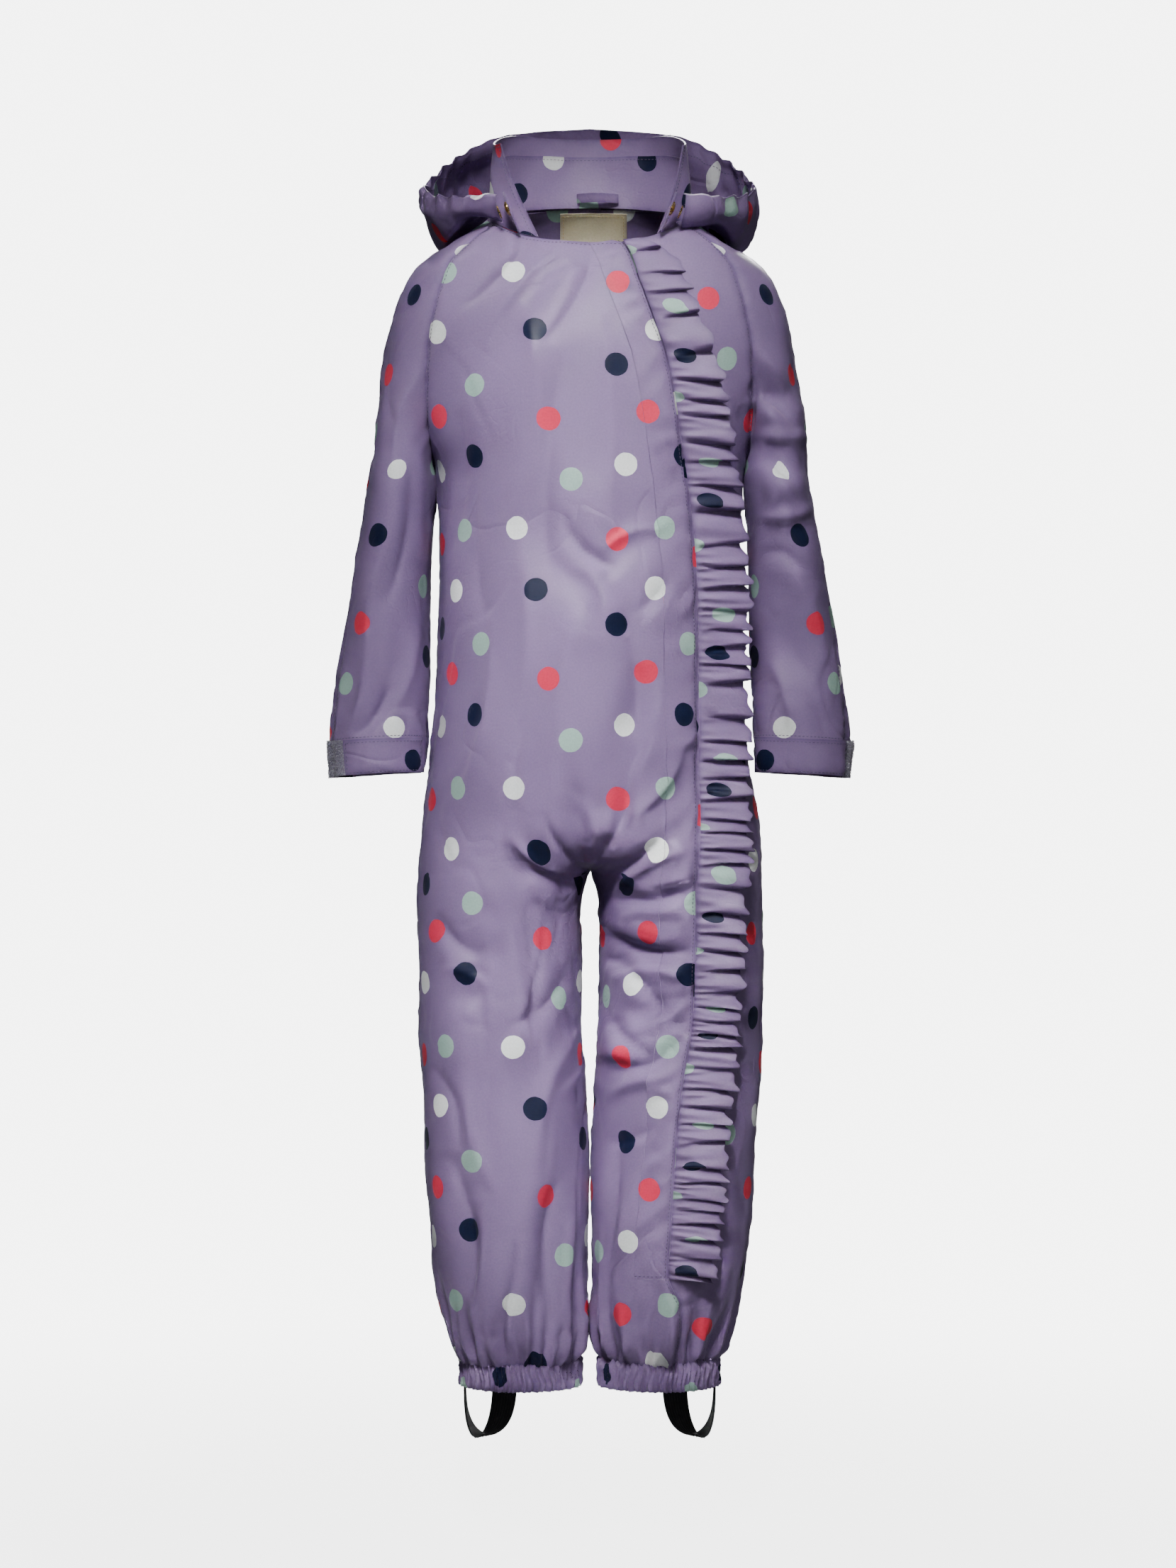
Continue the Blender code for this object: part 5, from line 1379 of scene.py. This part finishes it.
# %% A Geometry Nodes tree that sews stitches along lines
def socket_of(tree, label):
    return next(item.identifier for item in tree.interface.items_tree
                if item.item_type == "SOCKET" and item.in_out == "INPUT" and item.name == label)


def new_tree(name, kind, inputs, outputs):
    """A node group with its inputs and outputs by name."""
    tree = bpy.data.node_groups.new(name, kind)
    for label, socket_kind, value in inputs:
        socket = tree.interface.new_socket(label, in_out="INPUT", socket_type=socket_kind)
        if value is not None:
            socket.default_value = value
    for label, socket_kind in outputs:
        tree.interface.new_socket(label, in_out="OUTPUT", socket_type=socket_kind)
    return tree, tree.nodes.new("NodeGroupInput"), tree.nodes.new("NodeGroupOutput")


def geometry_tree(name, inputs):
    return new_tree(name, "GeometryNodeTree", [("Geometry", "NodeSocketGeometry", None)] + inputs,
                    [("Geometry", "NodeSocketGeometry")])


def add_node(tree, kind, values=(), **settings):
    """A node with its settings. Values are sockets to link from or plain values, in order or by name."""
    made = tree.nodes.new(kind)
    for key, value in settings.items():
        setattr(made, key, value)
    for place, value in values.items() if isinstance(values, dict) else enumerate(values):
        if isinstance(value, bpy.types.NodeSocket):
            tree.links.new(value, made.inputs[place])
        elif value is not None:
            made.inputs[place].default_value = value
    return made


def finish_growth(tree, placed, material, end):
    """Make the placed copies real, shade them smooth and give them their material."""
    real = add_node(tree, "GeometryNodeRealizeInstances", {"Geometry": placed.outputs["Instances"]})
    smooth = add_node(tree, "GeometryNodeSetShadeSmooth", {"Geometry": real.outputs["Geometry"]})
    paint = add_node(tree, "GeometryNodeSetMaterial",
                     {"Geometry": smooth.outputs["Geometry"], "Material": material})
    tree.links.new(paint.outputs["Geometry"], end.inputs["Geometry"])


def stitch_tree():
    tree, start, end = geometry_tree("Run of stitches", [
        ("Pitch", "NodeSocketFloat", 0.003),
        ("Stitch length", "NodeSocketFloat", 0.0023),
        ("Thread", "NodeSocketFloat", 0.0005),
        ("Seed", "NodeSocketInt", 7),
        ("Material", "NodeSocketMaterial", None)])
    given = start.outputs
    path = add_node(tree, "GeometryNodeMeshToCurve", {"Mesh": given["Geometry"]})
    steps = add_node(tree, "GeometryNodeResampleCurve",
                     {"Curve": path.outputs["Curve"], "Length": given["Pitch"]}, mode="LENGTH")
    tangent = add_node(tree, "GeometryNodeInputTangent")
    align = add_node(tree, "FunctionNodeAlignRotationToVector", {"Vector": tangent.outputs["Tangent"]},
                     axis="Z")
    bead = add_node(tree, "GeometryNodeMeshIcoSphere", {"Radius": 0.5, "Subdivisions": 1})
    size = add_node(tree, "ShaderNodeCombineXYZ", (given["Thread"], given["Thread"], given["Stitch length"]))
    shape = add_node(tree, "GeometryNodeTransform",
                     {"Geometry": bead.outputs["Mesh"], "Scale": size.outputs["Vector"]})
    vary = add_node(tree, "FunctionNodeRandomValue", {"Seed": given["Seed"]}, data_type="FLOAT")
    for label, value in (("Min", 0.86), ("Max", 1.08)):
        next(s for s in vary.inputs if s.name == label and s.type == "VALUE").default_value = value
    placed = add_node(tree, "GeometryNodeInstanceOnPoints", {
        "Points": steps.outputs["Curve"], "Instance": shape.outputs["Geometry"],
        "Rotation": align.outputs["Rotation"],
        "Scale": next(s for s in vary.outputs if s.type == "VALUE")})
    finish_growth(tree, placed, given["Material"], end)
    return tree


def grown(name, mesh, tree, values):
    """Run a Geometry Nodes tree on a mesh and keep the result as a plain mesh."""
    source = show(name + "_source", mesh)
    modifier = source.modifiers.new("Grow", "NODES")
    modifier.node_group = tree
    for label, value in values.items():
        modifier[socket_of(tree, label)] = value
    view_layer = bpy.context.evaluated_depsgraph_get()
    view_layer.update()
    result = bpy.data.meshes.new_from_object(source.evaluated_get(view_layer), depsgraph=view_layer)
    result.name = name
    bpy.data.objects.remove(source, do_unlink=True)
    return show(name, result)


# %% [markdown]
# ## Finishes as small node groups
# The shell cloth is seen everywhere, so its parts are built once as node groups: the printed
# spots, the fine weave, the crinkle of a coated cloth, and a painted shade along the seams.
# Each group puts out only colours, masks and heights. The spots could be painted, but a repeat
# of twelve on a unit cell is a short table, and it stays sharp at any distance.

# %% Helpers for node groups
def shader_group(name, inputs, outputs):
    return new_tree(name, "ShaderNodeTree", inputs, outputs)


def maths(tree, operation, *values):
    return add_node(tree, "ShaderNodeMath", values, operation=operation).outputs[0]


def vectors(tree, operation, *values):
    return add_node(tree, "ShaderNodeVectorMath", values, operation=operation).outputs[0]


def scaled(tree, vector, factor):
    return vectors(tree, "SCALE", vector, None, None, factor)


def length_of(tree, vector):
    return add_node(tree, "ShaderNodeVectorMath", (vector,), operation="LENGTH").outputs["Value"]


def noise(tree, place, scale, **values):
    return add_node(tree, "ShaderNodeTexNoise", {"Vector": place, "Scale": scale, **values}).outputs["Fac"]


def ranged(tree, *values, **settings):
    """A value carried from one range to another: the value, then the ends of both ranges."""
    return add_node(tree, "ShaderNodeMapRange", values, **settings).outputs[0]


def blend(tree, mask, first, second, **settings):
    """Two colours mixed by a mask. On this node the colours are sockets 6 and 7."""
    values = {0: mask, 6: first, 7: second}
    return add_node(tree, "ShaderNodeMix", values, data_type="RGBA", **settings).outputs[2]


def put_into(tree, node, **values):
    """Link values to a node's inputs by name."""
    for label, value in values.items():
        tree.links.new(value, node.inputs[label.replace("_", " ")])


# %% The printed spots
SPOT_CELL = (0.1669, 0.1917)
SPOT_PIXEL = 0.5756 * MM
SPOT_RADIUS = 8.7 * MM
SPOT_EDGE = 0.00012
SPOT_WOBBLE = 0.0007
SPOTS = [("Navy", 197, 0), ("Green", 9, 23), ("Coral", 238, 60), ("Coral", 110, 69), ("Navy", 0, 114),
         ("White", 209, 128), ("Green", 139, 147), ("White", 64, 208), ("Green", 263, 208),
         ("Coral", 199, 223), ("White", 249, 286), ("Navy", 93, 288)]
SPOT_START = (-0.0938, 0.3047)


def spots_group():
    group, start, end = shader_group("Printed spots", [
        ("Pattern", "NodeSocketVector", None),
        ("Ground", "NodeSocketColor", (0.26, 0.2, 0.34, 1)),
        ("Navy", "NodeSocketColor", (0.01, 0.02, 0.06, 1)),
        ("Green", "NodeSocketColor", (0.3, 0.45, 0.4, 1)),
        ("Coral", "NodeSocketColor", (0.7, 0.08, 0.12, 1)),
        ("White", "NodeSocketColor", (0.8, 0.8, 0.8, 1)),
    ], [("Colour", "NodeSocketColor"), ("Print", "NodeSocketFloat")])
    pattern = start.outputs["Pattern"]
    wobble = add_node(group, "ShaderNodeTexNoise", {"Vector": pattern, "Scale": 260, "Detail": 1})
    spread_out = vectors(group, "SUBTRACT", wobble.outputs["Color"], (0.5, 0.5, 0.5))
    moved = vectors(group, "ADD", pattern, scaled(group, spread_out, SPOT_WOBBLE))
    half = (SPOT_CELL[0] / 2, SPOT_CELL[1] / 2, 1)
    nearest = {}
    for colour, x, y in SPOTS:
        centre = (SPOT_START[0] + x * SPOT_PIXEL, SPOT_START[1] + y * SPOT_PIXEL, 0)
        away = vectors(group, "SUBTRACT", moved, centre)
        wrapped = vectors(group, "WRAP", away, half, tuple(-v for v in half))
        distance = length_of(group, wrapped)
        if colour in nearest:
            distance = maths(group, "MINIMUM", nearest[colour], distance)
        nearest[colour] = distance
    shown = start.outputs["Ground"]
    total = None
    for colour, distance in nearest.items():
        mask = ranged(group, distance, SPOT_RADIUS - SPOT_EDGE, SPOT_RADIUS + SPOT_EDGE, 1, 0,
                      interpolation_type="SMOOTHSTEP")
        shown = blend(group, mask, shown, start.outputs[colour])
        total = mask if total is None else maths(group, "MAXIMUM", total, mask)
    put_into(group, end, Colour=shown, Print=total)
    return group


def weave_group():
    """Fine crossing threads with small uneven tone."""
    group, start, end = shader_group("Fine weave", [
        ("Pattern", "NodeSocketVector", None),
        ("Thread", "NodeSocketFloat", 0.0006),
    ], [("Height", "NodeSocketFloat"), ("Tone", "NodeSocketFloat")])
    axes = add_node(group, "ShaderNodeSeparateXYZ", (start.outputs["Pattern"],))
    waves = []
    for axis in (0, 1):
        turns = maths(group, "DIVIDE", axes.outputs[axis], start.outputs["Thread"])
        waves.append(maths(group, "SINE", maths(group, "MULTIPLY", turns, 2 * math.pi)))
    crossing = maths(group, "MULTIPLY", waves[0], waves[1])
    slub = noise(group, start.outputs["Pattern"], 620, Detail=3)
    put_into(group, end, Height=maths(group, "MULTIPLY_ADD", crossing, 0.5, slub), Tone=slub)
    return group


def crinkle_group():
    """The soft crumple of a coated cloth: broad dents and fine crossing creases."""
    group, start, end = shader_group("Coated crinkle", [
        ("Place", "NodeSocketVector", None),
        ("Size", "NodeSocketFloat", 60.0),
    ], [("Height", "NodeSocketFloat"), ("Creases", "NodeSocketFloat")])
    place = start.outputs["Place"]
    size = start.outputs["Size"]
    broad = noise(group, place, size, Detail=3, Roughness=0.45, Distortion=0.6)
    fine = noise(group, place, maths(group, "MULTIPLY", size, 2.1), Detail=2)
    ridge = maths(group, "ABSOLUTE", maths(group, "SUBTRACT", fine, 0.5))
    line = ranged(group, ridge, 0.0, 0.05, 1, 0, interpolation_type="SMOOTHSTEP")
    where = ranged(group, noise(group, place, 14, Detail=1), 0.45, 0.62, 0.15, 1)
    height = maths(group, "MULTIPLY_ADD", maths(group, "MULTIPLY", line, where), -0.16, broad)
    long_lines = noise(group, place, 13, Detail=1, Distortion=0.7)
    long_ridge = maths(group, "ABSOLUTE", maths(group, "SUBTRACT", long_lines, 0.5))
    long_line = ranged(group, long_ridge, 0.0, 0.035, 0, 1)
    crumpled = ranged(group, noise(group, place, 7), 0.46, 0.62, 0, 1, interpolation_type="SMOOTHSTEP")
    put_into(group, end, Height=height, Creases=maths(group, "MULTIPLY", long_line, crumpled))
    return group


def seam_shade_group():
    """Painted shade along the seams and cut edges, a lower roughness there, and a small random tone."""
    group, start, end = shader_group("Painted seam shade", [
        ("Colour", "NodeSocketColor", (0.5, 0.5, 0.5, 1)),
        ("Rim", "NodeSocketFloat", 0.0),
        ("Place", "NodeSocketVector", None),
        ("Shade", "NodeSocketColor", (0.42, 0.40, 0.44, 1)),
    ], [("Colour", "NodeSocketColor"), ("Rub", "NodeSocketFloat")])
    place = start.outputs["Place"]
    amount = maths(group, "MULTIPLY", start.outputs["Rim"], noise(group, place, 90, Detail=3))
    # Painted shade: the colour is multiplied darker near a panel's rim, along its seam.
    dark = blend(group, amount, start.outputs["Colour"], start.outputs["Shade"], blend_type="MULTIPLY")
    tone = ranged(group, noise(group, place, 9, Detail=4), 0.3, 0.7, 0.94, 1.05)
    put_into(group, end, Colour=scaled(group, dark, tone), Rub=amount)
    return group


SPOTS_GROUP = spots_group()
WEAVE_GROUP = weave_group()
CRINKLE_GROUP = crinkle_group()
SEAM_SHADE_GROUP = seam_shade_group()
print("node groups", [group.name for group in bpy.data.node_groups if group.type == "SHADER"])

# %% [markdown]
# ## The materials
# The shell is satin-like coated cloth: a broad soft gloss, a touch of sheen, and a bump from the
# crinkle and the weave. The other finishes are the fuzzy lilac pile, the cream label, gold metal,
# black ribbed elastic and the thread. Values that are the same all over sit on the shader itself.

# %% Helpers for materials
def new_material(name, roughness, metallic=0.0, specular=0.5, sheen=0.0, sheen_roughness=0.5):
    made = bpy.data.materials.new(name)
    made.use_nodes = True
    shader = made.node_tree.nodes["Principled BSDF"]
    shader.inputs["Roughness"].default_value = roughness
    shader.inputs["Metallic"].default_value = metallic
    shader.inputs["Specular IOR Level"].default_value = specular
    shader.inputs["Sheen Weight"].default_value = sheen
    shader.inputs["Sheen Roughness"].default_value = sheen_roughness
    return made, made.node_tree, shader


def placed_group(tree, group, **values):
    return add_node(tree, "ShaderNodeGroup", values, node_tree=group).outputs


def bump(tree, height, strength, distance, normal=None):
    values = {"Strength": strength, "Distance": distance, "Height": height, "Normal": normal}
    return add_node(tree, "ShaderNodeBump", values).outputs["Normal"]


def object_place(tree):
    return add_node(tree, "ShaderNodeTexCoord").outputs["Object"]


def cloth_inputs(tree):
    """The place on the flat pattern, the place on the object and the nearness to a rim."""
    pattern = add_node(tree, "ShaderNodeUVMap", uv_map="cloth").outputs["UV"]
    rim = add_node(tree, "ShaderNodeAttribute", attribute_name="rim").outputs["Fac"]
    return pattern, object_place(tree), rim


# %% The spotted shell cloth
GROUND = (0.235, 0.165, 0.325, 1)
NAVY = (0.006, 0.010, 0.034, 1)
GREEN = (0.330, 0.480, 0.430, 1)
CORAL = (0.740, 0.045, 0.090, 1)
WHITE = (0.860, 0.880, 0.880, 1)


def shell_material():
    made, tree, shader = new_material("spotted shell cloth", 0.5, specular=0.2, sheen=0.02,
                                      sheen_roughness=0.35)
    pattern, place, rim = cloth_inputs(tree)
    spots = placed_group(tree, SPOTS_GROUP, Pattern=pattern, Ground=GROUND, Navy=NAVY, Green=GREEN,
                         Coral=CORAL, White=WHITE)
    # Painted shade: the spots' colour is darkened along the seams and cut edges.
    seam_shaded = placed_group(tree, SEAM_SHADE_GROUP, Colour=spots["Colour"], Rim=rim, Place=place)
    weave = placed_group(tree, WEAVE_GROUP, Pattern=pattern, Thread=0.0007)
    crinkle = placed_group(tree, CRINKLE_GROUP, Place=place, Size=34.0)
    tone = ranged(tree, weave["Tone"], 0.3, 0.7, 0.95, 1.05)
    rough = ranged(tree, crinkle["Height"], 0.3, 0.7, 0.36, 0.46)
    printed = maths(tree, "MULTIPLY_ADD", spots["Print"], 0.06, rough)
    rubbed = maths(tree, "MULTIPLY_ADD", seam_shaded["Rub"], -0.08, printed)
    low = bump(tree, crinkle["Height"], 0.22, 0.0025)
    creased = bump(tree, crinkle["Creases"], 0.35, 0.0016, low)
    high = bump(tree, weave["Height"], 0.10, 0.0003, creased)
    put_into(tree, shader, Base_Color=scaled(tree, seam_shaded["Colour"], tone), Roughness=rubbed, Normal=high)
    return made


# %% The smaller finishes
def pile_material():
    made, tree, shader = new_material("lilac loop pile", 0.95, specular=0.2, sheen=0.6)
    place = object_place(tree)
    tuft = add_node(tree, "ShaderNodeTexVoronoi", {"Vector": place, "Scale": 700})
    ramp = ranged(tree, tuft.outputs["Distance"], 0.0, 0.7, 1, 0)
    # The colour is darker between the tufts, where the bump is low: painted shade in the pile's hollows.
    colour = blend(tree, ramp, (0.20, 0.18, 0.27, 1), (0.42, 0.39, 0.52, 1))
    height = maths(tree, "MULTIPLY_ADD", noise(tree, place, 1500, Detail=3), 0.5, ramp)
    put_into(tree, shader, Base_Color=colour, Normal=bump(tree, height, 0.8, 0.0008))
    return made


def label_material():
    made, tree, shader = new_material("cream label", 0.7, specular=0.3, sheen=0.1)
    pattern, place, rim = cloth_inputs(tree)
    weave = placed_group(tree, WEAVE_GROUP, Pattern=pattern, Thread=0.0009)
    # The colour is darker where the weave's height is low: painted shade between the threads.
    tone = ranged(tree, weave["Height"], 0.0, 1.0, 0.0, 1.0)
    colour = blend(tree, tone, (0.70, 0.60, 0.36, 1), (0.92, 0.84, 0.60, 1))
    # Painted shade: the label is darkened along its cut edges.
    seam_shaded = placed_group(tree, SEAM_SHADE_GROUP, Colour=colour, Rim=rim, Place=place)
    put_into(tree, shader, Base_Color=seam_shaded["Colour"], Normal=bump(tree, weave["Height"], 0.35, 0.0004))
    return made


def elastic_material():
    made, tree, shader = new_material("black ribbed elastic", 0.8, specular=0.3, sheen=0.25)
    pattern, place, rim = cloth_inputs(tree)
    weave = placed_group(tree, WEAVE_GROUP, Pattern=pattern, Thread=0.0011)
    dust = noise(tree, place, 240, Detail=4)
    colour = blend(tree, dust, (0.008, 0.008, 0.010, 1), (0.030, 0.030, 0.034, 1))
    # Painted shade: the elastic is darkened along its cut edges.
    seam_shaded = placed_group(tree, SEAM_SHADE_GROUP, Colour=colour, Rim=rim, Place=place)
    put_into(tree, shader, Base_Color=seam_shaded["Colour"], Normal=bump(tree, weave["Height"], 0.5, 0.0005))
    return made


def gold_material():
    made, tree, shader = new_material("gold stud", 0.24, metallic=1.0)
    scratch = noise(tree, object_place(tree), 900, Detail=4)
    colour = blend(tree, scratch, (0.60, 0.38, 0.11, 1), (0.86, 0.62, 0.26, 1))
    put_into(tree, shader, Base_Color=colour, Roughness=ranged(tree, scratch, 0.3, 0.7, 0.18, 0.34),
             Normal=bump(tree, scratch, 0.15, 0.0002))
    return made


def thread_material(name, dark, light):
    made, tree, shader = new_material(name, 0.6, specular=0.4, sheen=0.15)
    ply = noise(tree, object_place(tree), 2600, Detail=2)
    put_into(tree, shader, Base_Color=blend(tree, ply, dark, light), Normal=bump(tree, ply, 0.4, 0.0002))
    return made


SHELL = shell_material()
PILE = pile_material()
LABEL = label_material()
ELASTIC_BLACK = elastic_material()
GOLD = gold_material()
THREAD_LILAC = thread_material("lilac thread", (0.055, 0.038, 0.085, 1), (0.13, 0.10, 0.18, 1))
THREAD_GOLD = thread_material("gold thread", (0.42, 0.30, 0.08, 1), (0.72, 0.55, 0.22, 1))
print("materials", len(bpy.data.materials))

# %% Sew the stitches
grown_pieces = []


def line_mesh(name, lines):
    corners = []
    joins = []
    for line in lines:
        first = len(corners)
        corners += [tuple(point * MM) for point in line]
        joins += [(first + k, first + k + 1) for k in range(len(line) - 1)]
    mesh = bpy.data.meshes.new(name)
    mesh.from_pydata(corners, joins, [])
    return mesh


STITCHES = stitch_tree()
for name, thread in (("topstitching", THREAD_LILAC), ("label_stitching", THREAD_GOLD)):
    made = grown(name, line_mesh(name + "_path", thread_lines[name]), STITCHES, {
        "Pitch": STITCH_PITCH * MM, "Stitch length": STITCH_LENGTH * MM, "Thread": THREAD * MM,
        "Seed": 7, "Material": thread})
    grown_pieces.append((made, "shell_cloth" if thread == THREAD_LILAC else "label_cloth"))
    print(name, len(made.data.polygons), "faces")


# %% [markdown]
# ## The fuzz of the loop patches
# The press-on patches are covered with tiny thread loops. A bump alone would stay flat at the
# patch's outline, so a few hundred real loops stand on each one. They are scattered over the
# outer face by Geometry Nodes, and each is a thin bent rod of a few faces.

# %% Loops scattered on a face
def pile_tree():
    tree, start, end = geometry_tree("Loop pile", [
        ("Loops per square metre", "NodeSocketFloat", 500000.0),
        ("Loop size", "NodeSocketFloat", 0.0012),
        ("Seed", "NodeSocketInt", 3),
        ("Material", "NodeSocketMaterial", None)])
    given = start.outputs
    scatter = add_node(tree, "GeometryNodeDistributePointsOnFaces", {
        "Mesh": given["Geometry"], "Density": given["Loops per square metre"], "Seed": given["Seed"]})
    arc = add_node(tree, "GeometryNodeCurveArc",
                   {"Resolution": 5, "Radius": 0.5, "Sweep Angle": math.radians(230)})
    upright = add_node(tree, "GeometryNodeTransform",
                       {"Geometry": arc.outputs["Curve"], "Rotation": (math.pi / 2, 0, 0)})
    thread_circle = add_node(tree, "GeometryNodeCurvePrimitiveCircle", {"Resolution": 3, "Radius": 0.11})
    rod = add_node(tree, "GeometryNodeCurveToMesh", {
        "Curve": upright.outputs["Geometry"], "Profile Curve": thread_circle.outputs["Curve"],
        "Fill Caps": True})
    spin = add_node(tree, "FunctionNodeRandomValue",
                    {"Min": (-0.5, -0.5, 0), "Max": (0.5, 0.5, 6.28), "Seed": given["Seed"]},
                    data_type="FLOAT_VECTOR")
    turn = add_node(tree, "FunctionNodeRotateRotation",
                    {"Rotation": scatter.outputs["Rotation"], "Rotate By": spin.outputs["Value"]},
                    rotation_space="LOCAL")
    placed = add_node(tree, "GeometryNodeInstanceOnPoints", {
        "Points": scatter.outputs["Points"], "Instance": rod.outputs["Mesh"],
        "Rotation": turn.outputs["Rotation"], "Scale": given["Loop size"]})
    finish_growth(tree, placed, given["Material"], end)
    return tree


PILE_TREE = pile_tree()
PILE_DENSITY = 420000.0
PILE_LOOP = 1.25
for side, label in SIDES:
    patch = made_pieces[f"loop_patch_{label}"].data
    faces = [list(face.vertices) for face in patch.polygons]
    numbers, _ = part_of_arm(side, cuff_row, len(arm_rows[side]), *PATCH_SPAN[side])
    count = (numbers.shape[0] - 1) * (numbers.shape[1] - 1)
    mesh = bpy.data.meshes.new(f"pile_{label}_base")
    mesh.from_pydata([tuple(v.co) for v in patch.vertices], [], faces[:count])
    made = grown(f"pile_{label}", mesh, PILE_TREE, {
        "Loops per square metre": PILE_DENSITY, "Loop size": PILE_LOOP * MM, "Seed": 3 + side,
        "Material": PILE})
    grown_pieces.append((made, "loop_pile"))
    print(made.name, len(made.data.polygons), "faces")

# %% [markdown]
# ## Dress the solids
# Every solid has one piece that stands for it, takes its finish, and rides with it. For a sheet
# of cloth the size it was cut to is worked out and printed: the extent and the area of the
# piece's own flat pattern, which the UV map holds in metres.

# %% Finish, replace and ride
FINISHES = {"loop_patch": (PILE, "loop_pile"), "neck_label": (LABEL, "label_cloth"),
            "stirrup": (ELASTIC_BLACK, "elastic"), "hood_snap": (GOLD, "stud_metal"),
            "hood_cap": (GOLD, "stud_metal")}
NARROW_STRAPS = ("hang_loop", "snap_tab_left", "snap_tab_right")
AREA_SHARE = 0.9995


def starting(table, name, otherwise):
    return next((value for key, value in table.items() if name.startswith(key)), otherwise)


def flat_size(mesh):
    """The width, length and area of the outer face's flat pattern, in metres."""
    uv = np.empty(len(mesh.loops) * 2)
    mesh.uv_layers["cloth"].data.foreach_get("uv", uv)
    uv = uv.reshape(-1, 4, 2)
    across = uv[:, 2] - uv[:, 0]
    down_edge = uv[:, 3] - uv[:, 1]
    areas = np.abs(across[:, 0] * down_edge[:, 1] - across[:, 1] * down_edge[:, 0]) / 2
    size = uv.reshape(-1, 2).max(axis=0) - uv.reshape(-1, 2).min(axis=0)
    return float(size[0]), float(size[1]), float(areas.sum() / 2)


for name, made in made_pieces.items():
    finish, slot_name = starting(FINISHES, name, (SHELL, "shell_cloth"))
    made.data.materials.append(finish)
    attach(made, "root")
    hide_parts(name)
    if made.name.endswith("_cloth") and name not in NARROW_STRAPS:
        width, length, area = flat_size(made.data)
        flat = (round(width, 4), round(length, 4))
        area = min(area, flat[0] * flat[1]) * AREA_SHARE
        print(name, "cut", round(width * 1000), "x", round(length * 1000), "mm, area", round(area, 4))
for made, slot_name in grown_pieces:
    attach(made, "root")

# %% [markdown]
# ## The studio
# The photograph is a plain catalogue picture: even white ground, soft light from high in front, a
# little from the left, and enough fill that the folds keep their colour. A small floor lies below
# the part, and fades out so that it has no horizon.

# %% Floor, lights and camera
FLOOR_Z = -1.0
FLOOR_HALF = 1.6
CAMERA_AT = Vector((-0.0013, -3.2, -0.4215))
FRAME_HEIGHT = 1.1878
WHITE_GROUND = 6.0
FILL_COLOUR = (0.92, 0.95, 1.0, 1)
FILL_GROUND = 0.045
FLOOR_SHOW = 0.3


def floor_material():
    made, tree, shader = new_material("pale floor", 0.9, specular=0.1)
    place = object_place(tree)
    away = length_of(tree, vectors(tree, "MULTIPLY", place, (1, 1, 0)))
    fade = ranged(tree, away, 0.25, FLOOR_HALF * 0.95, FLOOR_SHOW, 0, interpolation_type="SMOOTHSTEP")
    tone = blend(tree, noise(tree, place, 30), (0.86, 0.86, 0.865, 1), (0.88, 0.88, 0.885, 1))
    put_into(tree, shader, Base_Color=tone, Alpha=fade)
    return made


mesh = bpy.data.meshes.new("floor")
corners = [(x * FLOOR_HALF, y * FLOOR_HALF, FLOOR_Z) for x, y in ((-1, -1), (1, -1), (1, 1), (-1, 1))]
mesh.from_pydata(corners, [], [(0, 1, 2, 3)])
floor = show("floor", mesh)
floor.data.materials.append(floor_material())

world = bpy.data.worlds.new("white studio")
bpy.context.scene.world = world
world.use_nodes = True
tree = world.node_tree
shown_ground = tree.nodes["Background"]
shown_ground.inputs["Color"].default_value = (1, 1, 1, 1)
shown_ground.inputs["Strength"].default_value = WHITE_GROUND
fill_ground = tree.nodes.new("ShaderNodeBackground")
fill_ground.inputs["Color"].default_value = FILL_COLOUR
fill_ground.inputs["Strength"].default_value = FILL_GROUND
which = tree.nodes.new("ShaderNodeMixShader")
rays = tree.nodes.new("ShaderNodeLightPath")
tree.links.new(rays.outputs["Is Camera Ray"], which.inputs[0])
tree.links.new(fill_ground.outputs[0], which.inputs[1])
tree.links.new(shown_ground.outputs[0], which.inputs[2])
tree.links.new(which.outputs[0], tree.nodes["World Output"].inputs["Surface"])

Lamp = namedtuple("Lamp", "name place aim size power beam")
LAMPS = [
    Lamp("key_chest", (-0.15, -2.3, 1.95), (-0.01, 0, -0.12), 0.3, 0.33, 7.5),
    Lamp("key_hips", (-0.15, -2.35, 1.5), (-0.01, 0, -0.42), 0.3, 0.33, 7.5),
    Lamp("key_legs", (-0.15, -2.35, 1.2), (-0.01, 0, -0.72), 0.3, 0.36, 7.5),
    Lamp("key_soft", (-0.3, -2.3, 1.9), (0, 0, -0.4), 0.7, 42, 180),
    Lamp("fill", (1.2, -2.8, 0.2), (0, 0, -0.5), 1.4, 8, 180),
    Lamp("top", (0.1, 0.1, 1.9), (0, 0, -0.3), 1.1, 6, 180),
    Lamp("back", (0.3, 2.7, 1.2), (0, 0, -0.4), 1.1, 95, 180),
]
for lamp in LAMPS:
    data = bpy.data.lights.new(lamp.name, "AREA")
    data.shape = "DISK"
    data.size = lamp.size
    data.energy = lamp.power
    data.spread = math.radians(lamp.beam)
    made = show(lamp.name, data)
    made.location = lamp.place
    made.rotation_euler = (Vector(lamp.aim) - Vector(lamp.place)).to_track_quat("-Z", "Y").to_euler()

camera_data = bpy.data.cameras.new("photo_camera")
camera_data.sensor_width = 36
camera_data.lens = 36 * abs(CAMERA_AT.y) / FRAME_HEIGHT
camera = show("photo_camera", camera_data)
camera.location = CAMERA_AT
camera.rotation_euler = (math.pi / 2, 0, 0)
bpy.context.scene.camera = camera
